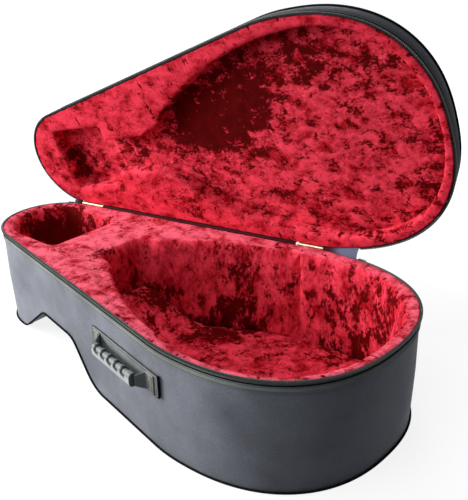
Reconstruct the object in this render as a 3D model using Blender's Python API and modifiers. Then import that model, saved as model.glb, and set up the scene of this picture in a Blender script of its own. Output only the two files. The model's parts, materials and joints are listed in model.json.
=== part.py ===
"""An oud case with its lid open.

A teardrop box of thin board under nylon. The lower half holds the bowl and, in a foot at the narrow end,
the bent pegbox. Between the two the underside arches up beneath the neck. The lid turns on two butt hinges
along the back flank, a zip runs round the rest of the rim, and both halves are padded and lined. +X runs to
the wide end, +Y to the hinge side, and the origin is on the floor under the widest place.
"""

import math

import bmesh
import bpy
from mathutils import Matrix, Vector

for old in list(bpy.data.objects):
    bpy.data.objects.remove(old)

# The plan of the shell, from its widest place
HEAD_LENGTH = 0.625  # widest place to the narrow tip
TAIL_LENGTH = 0.225  # widest place to the wide end
HALF_WIDTH = 0.208
HEAD_RADIUS = 0.100
SHOULDER_LENGTH = 0.250  # half axis of the curve that leads the flanks into the widest place
TAIL_FULLNESS = 2.35  # exponent of the wide end's curve: 2 is an ellipse
HEAD_ZIP_ANGLE = math.radians(120)  # where the zip starts on the narrow end's arc
ZIP_OVERRUN = 0.025  # how far behind the widest place the zip stops

# Heights
RIM_HEIGHT = 0.189  # the plane on which the halves meet
LID_DEPTH = 0.050
RIM_GAP = 0.0023  # from that plane to either wall
ARCH_HEIGHT = 0.074
LEAN_HEIGHT, BASE_LEAN = 0.095, 0.004  # below this height the lower wall leans in, by this much at the floor
LID_LEAN = 0.006  # the lid's wall leans in as much above its trim

# Underside from the narrow tip: the foot, the arch under the neck and the start of the base
FOOT_LENGTH = 0.103
ARCH_RISE_RUN = 0.099
ARCH_LENGTH = 0.112
ARCH_FALL_RUN = 0.060
FOOT_ROUND, ARCH_ROUND, THROAT_ROUND, BASE_ROUND = 0.054, 0.036, 0.033, 0.062

# Thicknesses
WALL = 0.006
BOARD = 0.006
FLOOR_PAD = 0.012
LID_PAD = 0.0124
TAPE = 0.0010
WEBBING = 0.0012
PIPING_RADIUS = 0.0018
GAP = 0.0003  # between pieces that touch
BOARD_JOIN = 0.037  # from the foot's end and the base's start to the joins of the bottom boards
CUT_PAST = 0.01  # how far a cut runs past what it cuts

# Room for the instrument
THROAT_STATION = 0.285  # from the narrow tip to where the neck bed ends and the bowl starts
FLARE_STATION = 0.335  # from the narrow tip to where the throat opens into the bowl
FLARE_SPREAD = 0.0225  # how much each side of the throat spreads as far as there
THROAT_HALF = 0.040
BELLY_X = 0.030
SIDE_FOAM, TAIL_FOAM = 0.024, 0.022  # from the outline to the bowl's room, walls and foam together
THROAT_SWELL = 0.82  # exponent of the bowl's curve from the flare to its widest place
BOWL_FULLNESS = 2.15  # exponent of its wide end
STRIP_STEP = 0.003  # the strip round the wide end is this much thinner than the shoulder foam
SHOULDER_X = -0.067  # where that strip starts
POCKET_STATION, POCKET_LENGTH = 0.020, 0.163  # the pegbox pocket, from the narrow tip
POCKET_HALF = 0.072
POCKET_CORNER = 0.012
LIP = 0.008  # rounding of the padded edges
BRIM_INSET = 0.0005  # the lining's turned-over edge stops this far inside the walls' faces

# Recess in the lid's padding
RECESS_DEPTH = 0.030
LID_SIDE_FOAM, LID_TAIL_FOAM = 0.021, 0.014
NECK_CHANNEL_HALF = 0.033
PEG_STATION, PEG_LENGTH = 0.072, 0.119
PEG_RECESS_HALF = 0.063
PEG_RECESS_EXTRA = 0.004
LID_LIP = 0.005

# Rim trim, each height from the rim plane
TAPE_REACH = 0.016
TEETH_HEIGHT = 0.0029
TEETH_DEPTH = 0.0024
WEBBING_HEIGHT = 0.0135
WEB_REACH = 0.030
WEB_THICKNESS = 0.0008

# Hinges
LID_ANGLE = math.radians(76)  # how far the lid stands open
HINGE_OFFSET = 0.0026  # from the back wall's face to the pin's axis
HEAD_HINGE_STATION = 0.090  # from the narrow tip
BELLY_HINGE_X = -0.063
HINGE_LENGTH = 0.054
LEAF_THICKNESS = 0.0012
LEAF_HEIGHT = 0.022
KNUCKLE_RADIUS = 0.0026
KNUCKLES = 5
PIN_RADIUS = 0.0011
PIN_PLAY = 0.00008
PIN_CAP = 0.0012
PIN_CAP_RADIUS = 0.0021
RIVET_RADIUS = 0.0012
RIVET_HEAD, RIVET_HEAD_TOP, RIVET_HEAD_HEIGHT = 0.0027, 0.0015, 0.0011
RIVET_INSET = 0.009

# Handle on the front flank
HANDLE_X = -0.129
HANDLE_HEIGHT = 0.121
PATCH_LENGTH, PATCH_HEIGHT, PATCH_THICKNESS = 0.196, 0.037, 0.0030
HANDLE_AXIS = 0.0044  # the swing axis stands this far off the patch
ROOT_RADIUS = 0.0036
ROOT_LENGTH = 0.009
ROOT_X = 0.070  # where each end of the strap meets its tab
TAB_LENGTH, TAB_WIDTH, TAB_THICKNESS = 0.019, 0.022, 0.0020
GRIP_LENGTH, GRIP_WIDTH, GRIP_THICKNESS = 0.120, 0.022, 0.013
GRIP_REACH = 0.0175  # patch face to the middle of the grip
GRIP_ROUND = 0.0060
STRAP_WIDTH, STRAP_THICKNESS = 0.017, 0.0030
STRAP_BEND = 0.0088  # from the grip's end to where the strap bends down
FINGERS = 5
FINGER_RADIUS = 0.0095
FINGER_DEPTH = 0.0028
FINGER_CLEAR = 0.002

# Zip sliders
SLIDER_LENGTH, SLIDER_HEIGHT, SLIDER_THICKNESS = 0.013, 0.0085, 0.0016
SLIDER_PARK = 0.0098  # from the zip's end to the slider's middle
SLIDER_LIFT = 0.0010  # room between the teeth and the slider's plate
CHEEK = 0.0016
BRIDGE_REACH, BRIDGE_RADIUS = 0.0034, 0.0008
PULL_LENGTH, PULL_WIDTH, PULL_THICKNESS = 0.030, 0.0080, 0.0016
PULL_EYE = 0.0014  # metal round the pull's eye

# Places along X that follow from these
TIP = -HEAD_LENGTH
FOOT_END = TIP + FOOT_LENGTH
ARCH_START = FOOT_END + ARCH_RISE_RUN
ARCH_END = ARCH_START + ARCH_LENGTH
BASE_START = ARCH_END + ARCH_FALL_RUN
THROAT_X = TIP + THROAT_STATION
FLARE_X = TIP + FLARE_STATION
POCKET_HEAD_X = TIP + POCKET_STATION
POCKET_END_X = POCKET_HEAD_X + POCKET_LENGTH
PEG_RECESS = (TIP + PEG_STATION, TIP + PEG_STATION + PEG_LENGTH)
HINGE_PLACES = {"head": TIP + HEAD_HINGE_STATION, "belly": BELLY_HINGE_X}

# Rooms for the bowl and for the instrument's face
BOWL_HALF, BOWL_TAIL_X = HALF_WIDTH - SIDE_FOAM, TAIL_LENGTH - TAIL_FOAM
RECESS_HALF, RECESS_TAIL_X = HALF_WIDTH - LID_SIDE_FOAM, TAIL_LENGTH - LID_TAIL_FOAM

NYLON = (0.26, 0.27, 0.30)
NYLON_DARK = (0.020, 0.022, 0.024)
VELVET = (0.60, 0.010, 0.035)
BRASS = (0.78, 0.62, 0.34)
NICKEL = (0.55, 0.54, 0.52)
GRIP_GREY = (0.36, 0.38, 0.38)

parts = bpy.data.collections.new("oud_case")
cutters = bpy.data.collections.new("cutters")
for group in (parts, cutters):
    bpy.context.scene.collection.children.link(group)


# Shared helpers


def material(name, colour, roughness, metallic=0.0):
    made = bpy.data.materials.get(name)
    if made is None:
        made = bpy.data.materials.new(name)
        made.use_nodes = True
        shader = made.node_tree.nodes["Principled BSDF"]
        shader.inputs["Base Color"].default_value = (*colour, 1)
        shader.inputs["Roughness"].default_value = roughness
        shader.inputs["Metallic"].default_value = metallic
    return made


def add_object(name, mesh, look=None, matrix=None):
    made = bpy.data.objects.new(name, mesh)
    if look is None:
        cutters.objects.link(made)
        made.hide_render = True
        made.display_type = "WIRE"
    else:
        parts.objects.link(made)
        mesh.materials.append(material(*look))
    if matrix is not None:
        made.matrix_world = matrix
    return made


def mesh_from(name, build, closed=True):
    mesh = bpy.data.meshes.new(name)
    bm = bmesh.new()
    build(bm)
    if closed:
        bmesh.ops.recalc_face_normals(bm, faces=bm.faces)
    bm.to_mesh(mesh)
    bm.free()
    return mesh


def combine(target, cutter, operation="DIFFERENCE"):
    step = target.modifiers.new(cutter.name, "BOOLEAN")
    step.operation = operation
    step.object = cutter
    step.solver = "EXACT"
    return target


def span(low, high, steps):
    return [low + (high - low) * k / steps for k in range(steps + 1)]


def grow(loop, distance):
    """A closed counterclockwise outline moved outwards, its corners kept sharp."""
    moved = []
    for before, here, after in zip(loop[-1:] + loop[:-1], loop, loop[1:] + loop[:1]):
        a = (here - before).normalized()
        b = (after - here).normalized()
        side_a, side_b = Vector((a.y, -a.x)), Vector((b.y, -b.x))
        middle = (side_a + side_b).normalized()
        moved.append(here + middle * distance / max(middle.dot(side_b), 0.4))
    return moved


def rounded(corners, radii, steps=5):
    """An open path through corners, each inner corner an arc."""
    path = [Vector(corners[0])]
    for before, here, after, radius in zip(corners, corners[1:], corners[2:], radii):
        here = Vector(here)
        a, b = (Vector(before) - here).normalized(), (Vector(after) - here).normalized()
        half = a.angle(b) / 2
        centre = here + (a + b).normalized() * radius / math.sin(half)
        start = here + a * radius / math.tan(half) - centre
        end = here + b * radius / math.tan(half) - centre
        turn = start.angle_signed(end)
        for k in range(steps + 1):
            path.append(centre + Matrix.Rotation(-turn * k / steps, 2) @ start)
    return path + [Vector(corners[-1])]


def prism(name, levels, look=None, matrix=None):
    """A solid through outlines of equal count, each given with its height from the bottom up."""

    def build(bm):
        rows = [[bm.verts.new((p.x, p.y, z)) for p in loop] for z, loop in levels]
        for low, high in zip(rows, rows[1:]):
            count = len(low)
            for i in range(count):
                j = (i + 1) % count
                bm.faces.new((low[i], low[j], high[j], high[i]))
        bm.faces.new(rows[0][::-1])
        bm.faces.new(rows[-1])

    return add_object(name, mesh_from(name, build), look, matrix)


def flared(name, loop, bottom, top, lip):
    """A cutter that widens in a quarter round at its mouth, which is at top, above or below bottom."""
    up = 1 if top > bottom else -1
    levels = [(bottom, loop)]
    for angle in span(0, math.pi / 2, 3):
        levels.append((top - up * lip * (1 - math.sin(angle)), grow(loop, lip * (1 - math.cos(angle)))))
    levels.append((top + up * CUT_PAST, levels[-1][1]))
    return prism(name, levels[::up])


def band(name, path, low, high, thickness, look, closed=True):
    """A strip standing on a path, thickened outwards."""

    def build(bm):
        bottom = [bm.verts.new((p.x, p.y, low)) for p in path]
        top = [bm.verts.new((p.x, p.y, high)) for p in path]
        count = len(path)
        for i in range(count if closed else count - 1):
            j = (i + 1) % count
            bm.faces.new((bottom[i], bottom[j], top[j], top[i]))

    made = add_object(name, mesh_from(name, build, closed=False), look)
    solid = made.modifiers.new("thickness", "SOLIDIFY")
    solid.thickness = thickness
    solid.offset = 1
    solid.use_even_offset = True
    return made


def tube(name, points, radius, look, sides=8):
    """A closed run of round cord."""
    curve = bpy.data.curves.new(name, "CURVE")
    curve.dimensions = "3D"
    curve.bevel_depth = radius
    curve.bevel_resolution = sides // 2 - 2
    line = curve.splines.new("POLY")
    line.points.add(len(points) - 1)
    for point, place in zip(line.points, points):
        point.co = (*place, 1)
    line.use_cyclic_u = True
    made = bpy.data.objects.new(name, curve)
    parts.objects.link(made)
    curve.materials.append(material(*look))
    return made


def box(name, low, high, look=None, matrix=None):
    def build(bm):
        bmesh.ops.create_cube(bm, size=1)
        for v in bm.verts:
            v.co = [(a + b) / 2 + c * (b - a) for a, b, c in zip(low, high, v.co)]

    return add_object(name, mesh_from(name, build), look, matrix)


def cylinder(name, start, end, radius, look=None, matrix=None, sides=16, end_radius=None):
    start, end = Vector(start), Vector(end)

    def build(bm):
        turn = (end - start).to_track_quat("Z", "Y").to_matrix().to_4x4()
        place = Matrix.Translation((start + end) / 2) @ turn
        last = radius if end_radius is None else end_radius
        bmesh.ops.create_cone(bm, segments=sides, radius1=radius, radius2=last,
                              depth=(end - start).length, cap_ends=True, matrix=place)

    return add_object(name, mesh_from(name, build), look, matrix)


def slab(name, profile, low, high, look=None, matrix=None):
    """An outline in X and Z, carried along Y from low to high."""

    def build(bm):
        sides = [[bm.verts.new((p.x, y, p.y)) for p in profile] for y in (low, high)]
        count = len(profile)
        for i in range(count):
            j = (i + 1) % count
            bm.faces.new((sides[0][i], sides[0][j], sides[1][j], sides[1][i]))
        bm.faces.new(sides[0][::-1])
        bm.faces.new(sides[1])

    return add_object(name, mesh_from(name, build), look, matrix)


# Plan of the shell: points with their outward normals, counterclockwise from the zip's start


def flank_normal():
    """Direction of the back flank's normal: the common tangent of the narrow arc and the shoulder curve."""
    low, high = math.radians(91), math.radians(130)

    def miss(angle):
        c, s = math.cos(angle), math.sin(angle)
        arc = (HEAD_RADIUS - HEAD_LENGTH) * c + HEAD_RADIUS
        return arc - math.hypot(SHOULDER_LENGTH * c, HALF_WIDTH * s)

    for _ in range(50):
        middle = (low + high) / 2
        if miss(middle) < 0:
            low = middle
        else:
            high = middle
    return low


FLANK = flank_normal()
SLOPE = FLANK - math.pi / 2  # angle of the back flank to X


def head_point(angle):
    normal = Vector((math.cos(angle), math.sin(angle)))
    return Vector((HEAD_RADIUS - HEAD_LENGTH, 0)) + normal * HEAD_RADIUS, normal


def shoulder_point(angle):
    """On the shoulder curve, by the direction of the normal."""
    normal = Vector((math.cos(angle), math.sin(angle)))
    reach = math.hypot(SHOULDER_LENGTH * normal.x, HALF_WIDTH * normal.y)
    return Vector((SHOULDER_LENGTH**2 * normal.x, HALF_WIDTH**2 * normal.y)) / reach, normal


def tail_point(angle):
    n = TAIL_FULLNESS
    c, s = abs(math.cos(angle)), abs(math.sin(angle))
    side = 1 if math.sin(angle) > 0 else -1
    place = Vector((TAIL_LENGTH * c ** (2 / n), side * HALF_WIDTH * s ** (2 / n)))
    normal = Vector(((place.x / TAIL_LENGTH) ** (n - 1) / TAIL_LENGTH,
                     side * abs(place.y / HALF_WIDTH) ** (n - 1) / HALF_WIDTH))
    return place, normal.normalized()


zip_stop = math.acos((ZIP_OVERRUN / TAIL_LENGTH) ** (TAIL_FULLNESS / 2))
zip_run = [head_point(a) for a in span(HEAD_ZIP_ANGLE, 2 * math.pi - FLANK, 12)]
zip_run += [shoulder_point(a) for a in span(2 * math.pi - FLANK, 1.5 * math.pi, 4)]
zip_run += [tail_point(a) for a in span(-math.pi / 2, zip_stop, 20)[1:]]
back_run = [zip_run[-1]] + [shoulder_point(a) for a in span(math.pi / 2, FLANK, 4)]
back_run += [head_point(FLANK), zip_run[0]]


def outline(distance=0.0, run=None):
    points = zip_run + back_run[1:-1] if run is None else run
    return [place + normal * distance for place, normal in points]


def back_line(x):
    """Y of the straight back flank at a station."""
    place, normal = head_point(FLANK)
    return place.y + (place.x - x) * normal.x / normal.y


hinge_base = Vector((HINGE_PLACES["head"], back_line(HINGE_PLACES["head"]), RIM_HEIGHT))
hinge_base += Vector((math.cos(FLANK), math.sin(FLANK), 0)) * HINGE_OFFSET
hinge_axis = Vector((math.cos(SLOPE), math.sin(SLOPE), 0))
lid_pivot = bpy.data.objects.new("lid_pivot", None)
parts.objects.link(lid_pivot)
lid_pivot.matrix_world = Matrix.Translation(hinge_base) @ Matrix.Rotation(-LID_ANGLE, 4, hinge_axis)


def on_lid(made):
    """Hangs a piece that is laid out on the closed case from the open lid's pivot."""
    here = made.matrix_world.copy()
    made.parent = lid_pivot
    made.matrix_parent_inverse = Matrix.Identity(4)
    made.matrix_basis = Matrix.Translation(-hinge_base) @ here
    return made


NYLON_LOOK = ("nylon", NYLON, 0.75)
TRIM_LOOK = ("nylon_trim", NYLON_DARK, 0.6)
VELVET_LOOK = ("velvet", VELVET, 0.95)
BRASS_LOOK = ("brass", BRASS, 0.3, 1.0)
NICKEL_LOOK = ("nickel", NICKEL, 0.35, 1.0)

# The underside's line and what is cut or laid by it

ACROSS = 2 * HALF_WIDTH
underside = rounded([(TIP - 5 * CUT_PAST, 0), (FOOT_END, 0), (ARCH_START, ARCH_HEIGHT),
                     (ARCH_END, ARCH_HEIGHT), (BASE_START, 0), (TAIL_LENGTH + 5 * CUT_PAST, 0)],
                    [FOOT_ROUND, ARCH_ROUND, THROAT_ROUND, BASE_ROUND])


def lifted(path, distance):
    """An open path in X and Z moved up along its normals."""
    moved = []
    for k, here in enumerate(path):
        along = (path[min(k + 1, len(path) - 1)] - path[max(k - 1, 0)]).normalized()
        moved.append(here + Vector((-along.y, along.x)) * distance)
    return moved


def height_at(path, x):
    for a, b in zip(path, path[1:]):
        if a.x <= x <= b.x:
            return a.y + (b.y - a.y) * (x - a.x) / (b.x - a.x)
    return path[-1].y


def layer(name, low, high, start, end, look=None):
    """A board or pad that follows the underside between two heights over it and two stations."""
    rows = []
    for path in (lifted(underside, low), lifted(underside, high)):
        ends = [Vector((x, height_at(path, x))) for x in (start, end)]
        rows.append([ends[0]] + [p for p in path if start < p.x < end] + [ends[1]])
    return slab(name, rows[0] + rows[1][::-1], -ACROSS, ACROSS, look)


def under(name, height):
    """All the room below a height over the underside."""
    path = lifted(underside, height)
    corners = [Vector((path[0].x, -CUT_PAST)), Vector((path[-1].x, -CUT_PAST))]
    return slab(name, corners + path[::-1], -ACROSS, ACROSS)


LOWER_TOP, LID_LOW, LID_HIGH = RIM_HEIGHT - RIM_GAP, RIM_HEIGHT + RIM_GAP, RIM_HEIGHT + LID_DEPTH


def lean_at(height):
    """How far the walls' faces lie inside the outline at a height."""
    if height < RIM_HEIGHT:
        return BASE_LEAN * max(0.0, 1 - height / LEAN_HEIGHT)
    trimmed = RIM_HEIGHT + WEB_REACH
    return LID_LEAN * max(0.0, height - trimmed) / (LID_HIGH - trimmed)


def wall_levels(low, high, inset=0.0):
    """Outlines inside the walls' faces from one height to another, with one at each bend of the walls."""
    bends = [z for z in (LEAN_HEIGHT, RIM_HEIGHT + WEB_REACH) if low < z < high]
    return [(z, outline(-inset - lean_at(z))) for z in (low, *bends, high)]


inner = outline(-WALL - GAP)
brim = outline(-BRIM_INSET)  # the lining laps the walls' edges as far as this
brim_under = LOWER_TOP + GAP
shell_room = prism("shell_room", [*wall_levels(-CUT_PAST, brim_under, WALL + GAP), (brim_under, brim),
                                  (LID_HIGH, brim)])

# Lower shell

lower_wall = prism("lower_side_wall", wall_levels(0.0, LOWER_TOP), NYLON_LOOK)
combine(lower_wall, prism("lower_wall_room", wall_levels(-CUT_PAST, LOWER_TOP + CUT_PAST, WALL)))
combine(lower_wall, under("arch_room", 0.0))

board_edges = [TIP, FOOT_END - BOARD_JOIN, BASE_START + BOARD_JOIN, TAIL_LENGTH]
for name, start, end in zip(("foot_board", "arch_board", "base_board"), board_edges, board_edges[1:]):
    combine(layer(name, 0.0, BOARD, start, end - GAP, NYLON_LOOK), shell_room, "INTERSECT")


def trimmed_edge(distance):
    """The shell's lower edge: the outline raised to the underside, with points of its own at the bends."""
    bends = [p.x for p in underside[1:-1]]
    ring = zip_run + back_run[1:-1]
    places = []
    for (a, out_a), (b, out_b) in zip(ring, ring[1:] + ring[:1]):
        cuts = [(x - a.x) / (b.x - a.x) for x in bends if min(a.x, b.x) < x < max(a.x, b.x)]
        for t in (0.0, *sorted(cuts)):
            spot, normal = a.lerp(b, t), out_a.lerp(out_b, t).normalized()
            height = height_at(underside, spot.x) + PIPING_RADIUS
            spot += normal * (distance - lean_at(height))
            places.append((*spot, height))
    return places


tube("bottom_piping", trimmed_edge(PIPING_RADIUS + GAP), PIPING_RADIUS, TRIM_LOOK)

# Instrument room: plans of the bowl and the pegbox pocket


def body_plan(half, tail_x, throat_half, steps=12):
    """The instrument's plan from the throat round the tail, counterclockwise."""
    flare_half = throat_half + FLARE_SPREAD
    side = [Vector((THROAT_X, throat_half))]
    for s in span(0, 1, steps):
        width = flare_half + (half - flare_half) * math.sin(math.pi / 2 * s) ** THROAT_SWELL
        side.append(Vector((FLARE_X + (BELLY_X - FLARE_X) * s, width)))
    n = BOWL_FULLNESS
    for a in span(math.pi / 2, 0, steps)[1:-1]:
        side.append(Vector((BELLY_X + (tail_x - BELLY_X) * math.cos(a) ** (2 / n),
                            half * math.sin(a) ** (2 / n))))
    front = [Vector((p.x, -p.y)) for p in side]
    return front + [Vector((tail_x, 0))] + side[::-1]


def pocket_plan():
    """The pegbox pocket: a round end at the tip, rounded corners at the neck bed."""
    centre = Vector((POCKET_HEAD_X + POCKET_HALF, 0))
    turns = span(math.pi / 2, 1.5 * math.pi, 12)
    tip = [centre + POCKET_HALF * Vector((math.cos(a), math.sin(a))) for a in turns]
    inset = POCKET_END_X - POCKET_CORNER
    return tip + [Vector((inset, -POCKET_HALF)), Vector((POCKET_END_X, POCKET_CORNER - POCKET_HALF)),
                  Vector((POCKET_END_X, POCKET_HALF - POCKET_CORNER)), Vector((inset, POCKET_HALF))]


LINING_TOP = RIM_HEIGHT - GAP
bowl_plan = body_plan(BOWL_HALF, BOWL_TAIL_X, THROAT_HALF)
bowl_room = flared("bowl_room", bowl_plan, -CUT_PAST, LINING_TOP, LIP)
strip_room = flared("strip_room", grow(bowl_plan, STRIP_STEP), -CUT_PAST, LINING_TOP, LIP)
pocket_room = flared("pocket_room", pocket_plan(), -CUT_PAST, LINING_TOP, LIP)
board_room = under("board_room", BOARD + GAP)


def padding(name, start, end, rooms):
    """The block of foam between two stations, cut by the rooms it surrounds."""
    made = box(name, (start, -HALF_WIDTH, 0.0), (end, HALF_WIDTH, LINING_TOP), VELVET_LOOK)
    combine(made, shell_room, "INTERSECT")
    for room in rooms:
        combine(made, room)
    return made


padding("pegbox_padding", TIP, POCKET_END_X, (pocket_room, board_room))
padding("neck_block_padding", POCKET_END_X + GAP, SHOULDER_X, (bowl_room, board_room, pocket_room))
padding("bowl_side_padding", SHOULDER_X + GAP, TAIL_LENGTH, (strip_room, board_room))


def floor_pad(name, plan, start, end):
    pad = layer(name, BOARD + GAP, BOARD + GAP + FLOOR_PAD, start - CUT_PAST, end + CUT_PAST, VELVET_LOOK)
    edge = grow(plan, -GAP)
    combine(pad, prism(f"{name}_room", [(-CUT_PAST, edge), (RIM_HEIGHT, edge)]), "INTERSECT")


floor_pad("bowl_floor_pad", bowl_plan, THROAT_X, BOWL_TAIL_X)
floor_pad("pegbox_floor_pad", pocket_plan(), POCKET_HEAD_X, POCKET_END_X)

# Lid, laid out closed and hung from the pivot

lid_wall = on_lid(prism("lid_side_wall", wall_levels(LID_LOW, LID_HIGH), NYLON_LOOK))
combine(lid_wall, on_lid(prism("lid_wall_room", wall_levels(LID_LOW - CUT_PAST, LID_HIGH + CUT_PAST, WALL))))
on_lid(prism("lid_top_board", wall_levels(LID_HIGH - BOARD, LID_HIGH, WALL + GAP), NYLON_LOOK))
lid_edge = outline(PIPING_RADIUS + GAP - lean_at(LID_HIGH - PIPING_RADIUS))
on_lid(tube("lid_edge_piping", [(p.x, p.y, LID_HIGH - PIPING_RADIUS) for p in lid_edge], PIPING_RADIUS,
            TRIM_LOOK))

recess_floor = RIM_HEIGHT + GAP + RECESS_DEPTH
lid_brim = LID_LOW - GAP
surround_levels = [(RIM_HEIGHT + GAP, brim), (lid_brim, brim), (lid_brim, inner), (recess_floor, inner)]
surround = on_lid(prism("lid_padding_surround", surround_levels, VELVET_LOOK))
lid_body_plan = body_plan(RECESS_HALF, RECESS_TAIL_X, NECK_CHANNEL_HALF)


def oblong(start, end, half):
    return [Vector((start, -half)), Vector((end, -half)), Vector((end, half)), Vector((start, half))]


channel_plan = oblong(PEG_RECESS[1] - CUT_PAST, THROAT_X + CUT_PAST, NECK_CHANNEL_HALF)
peg_plan = oblong(*PEG_RECESS, PEG_RECESS_HALF)
rooms = {"lid_body_room": lid_body_plan, "lid_channel_room": channel_plan, "lid_peg_room": peg_plan}
for name, plan in rooms.items():
    combine(surround, on_lid(flared(name, plan, recess_floor + CUT_PAST, RIM_HEIGHT + GAP, LID_LIP)))

back_levels = wall_levels(recess_floor + GAP, recess_floor + GAP + LID_PAD, WALL + GAP)
back_pad = on_lid(prism("lid_back_pad", back_levels, VELVET_LOOK))
peg_floor = prism("lid_peg_floor_room", [(recess_floor - CUT_PAST, peg_plan),
                                         (recess_floor + PEG_RECESS_EXTRA, peg_plan)])
combine(back_pad, on_lid(peg_floor))

# Rim trim: webbing, zip and the cloth web along the hinges, on both halves

webs = {}
for half, sign in (("lower", -1), ("lid", 1)):
    place = on_lid if half == "lid" else lambda made: made

    def rim_band(name, near, far, stand_off, thickness, run, look):
        low, high = sorted((RIM_HEIGHT + sign * near, RIM_HEIGHT + sign * far))
        return place(band(f"{half}_{name}", outline(stand_off, run), low, high, thickness, look, False))

    rim_band("zip_tape", GAP, TAPE_REACH, GAP, TAPE, zip_run, TRIM_LOOK)
    rim_band("zip_teeth", GAP, GAP + TEETH_HEIGHT, 2 * GAP + TAPE, TEETH_DEPTH, zip_run, TRIM_LOOK)
    webbing_start = TAPE_REACH + GAP
    rim_band("rim_webbing", webbing_start, webbing_start + WEBBING_HEIGHT, GAP, WEBBING, zip_run, NYLON_LOOK)
    webs[half] = rim_band("hinge_web", RIM_GAP, WEB_REACH, GAP, WEB_THICKNESS, back_run[1:-1], TRIM_LOOK)

# Butt hinges: each is laid out with X along its pin, Y outwards and Z up


def hinge_frame(station):
    along = (station - HINGE_PLACES["head"]) / hinge_axis.x
    spot = hinge_base + hinge_axis * along
    outwards = Vector((-hinge_axis.y, hinge_axis.x, 0))
    turn = Matrix((hinge_axis, outwards, (0, 0, 1))).transposed().to_4x4()
    return Matrix.Translation(spot) @ turn


def leaf(name, frame, sign):
    """One leaf: a plate with fingers that reach its own knuckles, which are drilled for the pin."""
    pitch = HINGE_LENGTH / KNUCKLES
    own = [k for k in range(KNUCKLES) if (k % 2 == 0) == (sign < 0)]
    end = HINGE_LENGTH / 2
    line = []
    for k in range(KNUCKLES):
        start = k * pitch - end
        top = 0 if k in own else -KNUCKLE_RADIUS - GAP
        inset = GAP / 2 if k in own else -GAP / 2
        line += [(start + inset, top), (start + pitch - inset, top)]
    line[0] = (-end, line[0][1])
    line[-1] = (end, line[-1][1])
    line += [(end, -LEAF_HEIGHT), (-end, -LEAF_HEIGHT)]
    plate = slab(name, [Vector((x, -sign * z)) for x, z in line], -LEAF_THICKNESS, 0, BRASS_LOOK, frame)
    barrels = []
    for k in own:
        low = k * pitch - end + (GAP / 2 if k else 0)
        high = (k + 1) * pitch - end - (GAP / 2 if k < KNUCKLES - 1 else 0)
        barrel = cylinder(f"{name}_knuckle_{k}", (low, 0, 0), (high, 0, 0), KNUCKLE_RADIUS, matrix=frame)
        combine(plate, barrel, "UNION")
        barrels.append(barrel)
    bore = cylinder(f"{name}_bore", (-HINGE_LENGTH, 0, 0), (HINGE_LENGTH, 0, 0), PIN_RADIUS + PIN_PLAY,
                    matrix=frame, sides=12)
    combine(plate, bore)
    return [plate, *barrels, bore]


def rivet(name, frame, x, z):
    """A domed head on the leaf and a shank through the leaf, the web and the wall."""
    head = cylinder(name, (x, GAP, z), (x, GAP + RIVET_HEAD_HEIGHT, z), RIVET_HEAD, NICKEL_LOOK, frame,
                    sides=12, end_radius=RIVET_HEAD_TOP)
    shank = cylinder(f"{name}_shank", (x, 2 * GAP, z), (x, -HINGE_OFFSET - WALL, z), RIVET_RADIUS,
                     matrix=frame, sides=12)
    return combine(head, shank, "UNION"), shank


for place_name, station in HINGE_PLACES.items():
    frame = hinge_frame(station)
    for half, sign, wall in (("lower", -1, lower_wall), ("lid", 1, lid_wall)):
        name = f"{place_name}_hinge_{half}"
        made = leaf(f"{name}_leaf", frame, sign)
        z = sign * (LEAF_HEIGHT + KNUCKLE_RADIUS) / 2
        for k, side in enumerate((-1, 1)):
            x = side * (HINGE_LENGTH / 2 - RIVET_INSET)
            hole = cylinder(f"{name}_hole_{k + 1}", (x, CUT_PAST, z), (x, -HINGE_OFFSET - WALL - CUT_PAST, z),
                            RIVET_RADIUS + GAP, matrix=frame, sides=12)
            for holed in (made[0], webs[half], wall):
                combine(holed, hole)
            made += [hole, *rivet(f"{name}_rivet_{k + 1}", frame, x, z)]
        if half == "lid":
            for piece in made:
                on_lid(piece)
    pin_reach = HINGE_LENGTH / 2 + GAP
    into_cap = pin_reach + PIN_CAP / 2
    pin = cylinder(f"{place_name}_hinge_pin", (-into_cap, 0, 0), (into_cap, 0, 0), PIN_RADIUS, BRASS_LOOK,
                   frame, sides=12)
    for side in (-1, 1):
        cap = cylinder(f"{place_name}_pin_cap_{side}", (side * pin_reach, 0, 0),
                       (side * (pin_reach + PIN_CAP), 0, 0), PIN_CAP_RADIUS, matrix=frame, sides=12)
        combine(pin, cap, "UNION")

# Handle: laid out with X along the front flank, -Y outwards and Z up, its origin on the wall behind the patch

along_front = Vector((math.cos(SLOPE), -math.sin(SLOPE), 0))
into_case = Vector((math.sin(SLOPE), math.cos(SLOPE), 0))
handle_spot = Vector((HANDLE_X, -back_line(HANDLE_X), HANDLE_HEIGHT))
handle_turn = Matrix((along_front, into_case, (0, 0, 1))).transposed().to_4x4()
handle_frame = Matrix.Translation(handle_spot) @ handle_turn

PATCH_FACE = -GAP - PATCH_THICKNESS
box("handle_patch", (-PATCH_LENGTH / 2, PATCH_FACE, -PATCH_HEIGHT / 2),
    (PATCH_LENGTH / 2, -GAP, PATCH_HEIGHT / 2), NYLON_LOOK, handle_frame)
swing_y = PATCH_FACE - HANDLE_AXIS
grip_y = PATCH_FACE - GRIP_REACH

tab_face = PATCH_FACE - GAP
for end, side in (("head", -1), ("tail", 1)):
    near, far = ROOT_X + GAP, ROOT_X + GAP + TAB_LENGTH
    low, high = sorted((side * near, side * far))
    tab = box(f"handle_{end}_tab", (low, tab_face - TAB_THICKNESS, -TAB_WIDTH / 2),
              (high, tab_face, TAB_WIDTH / 2), TRIM_LOOK, handle_frame)
    fold = cylinder(f"{end}_fold", (side * near, swing_y, 0), (side * (near + ROOT_LENGTH), swing_y, 0),
                    ROOT_RADIUS, matrix=handle_frame)
    combine(tab, fold, "UNION")

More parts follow.
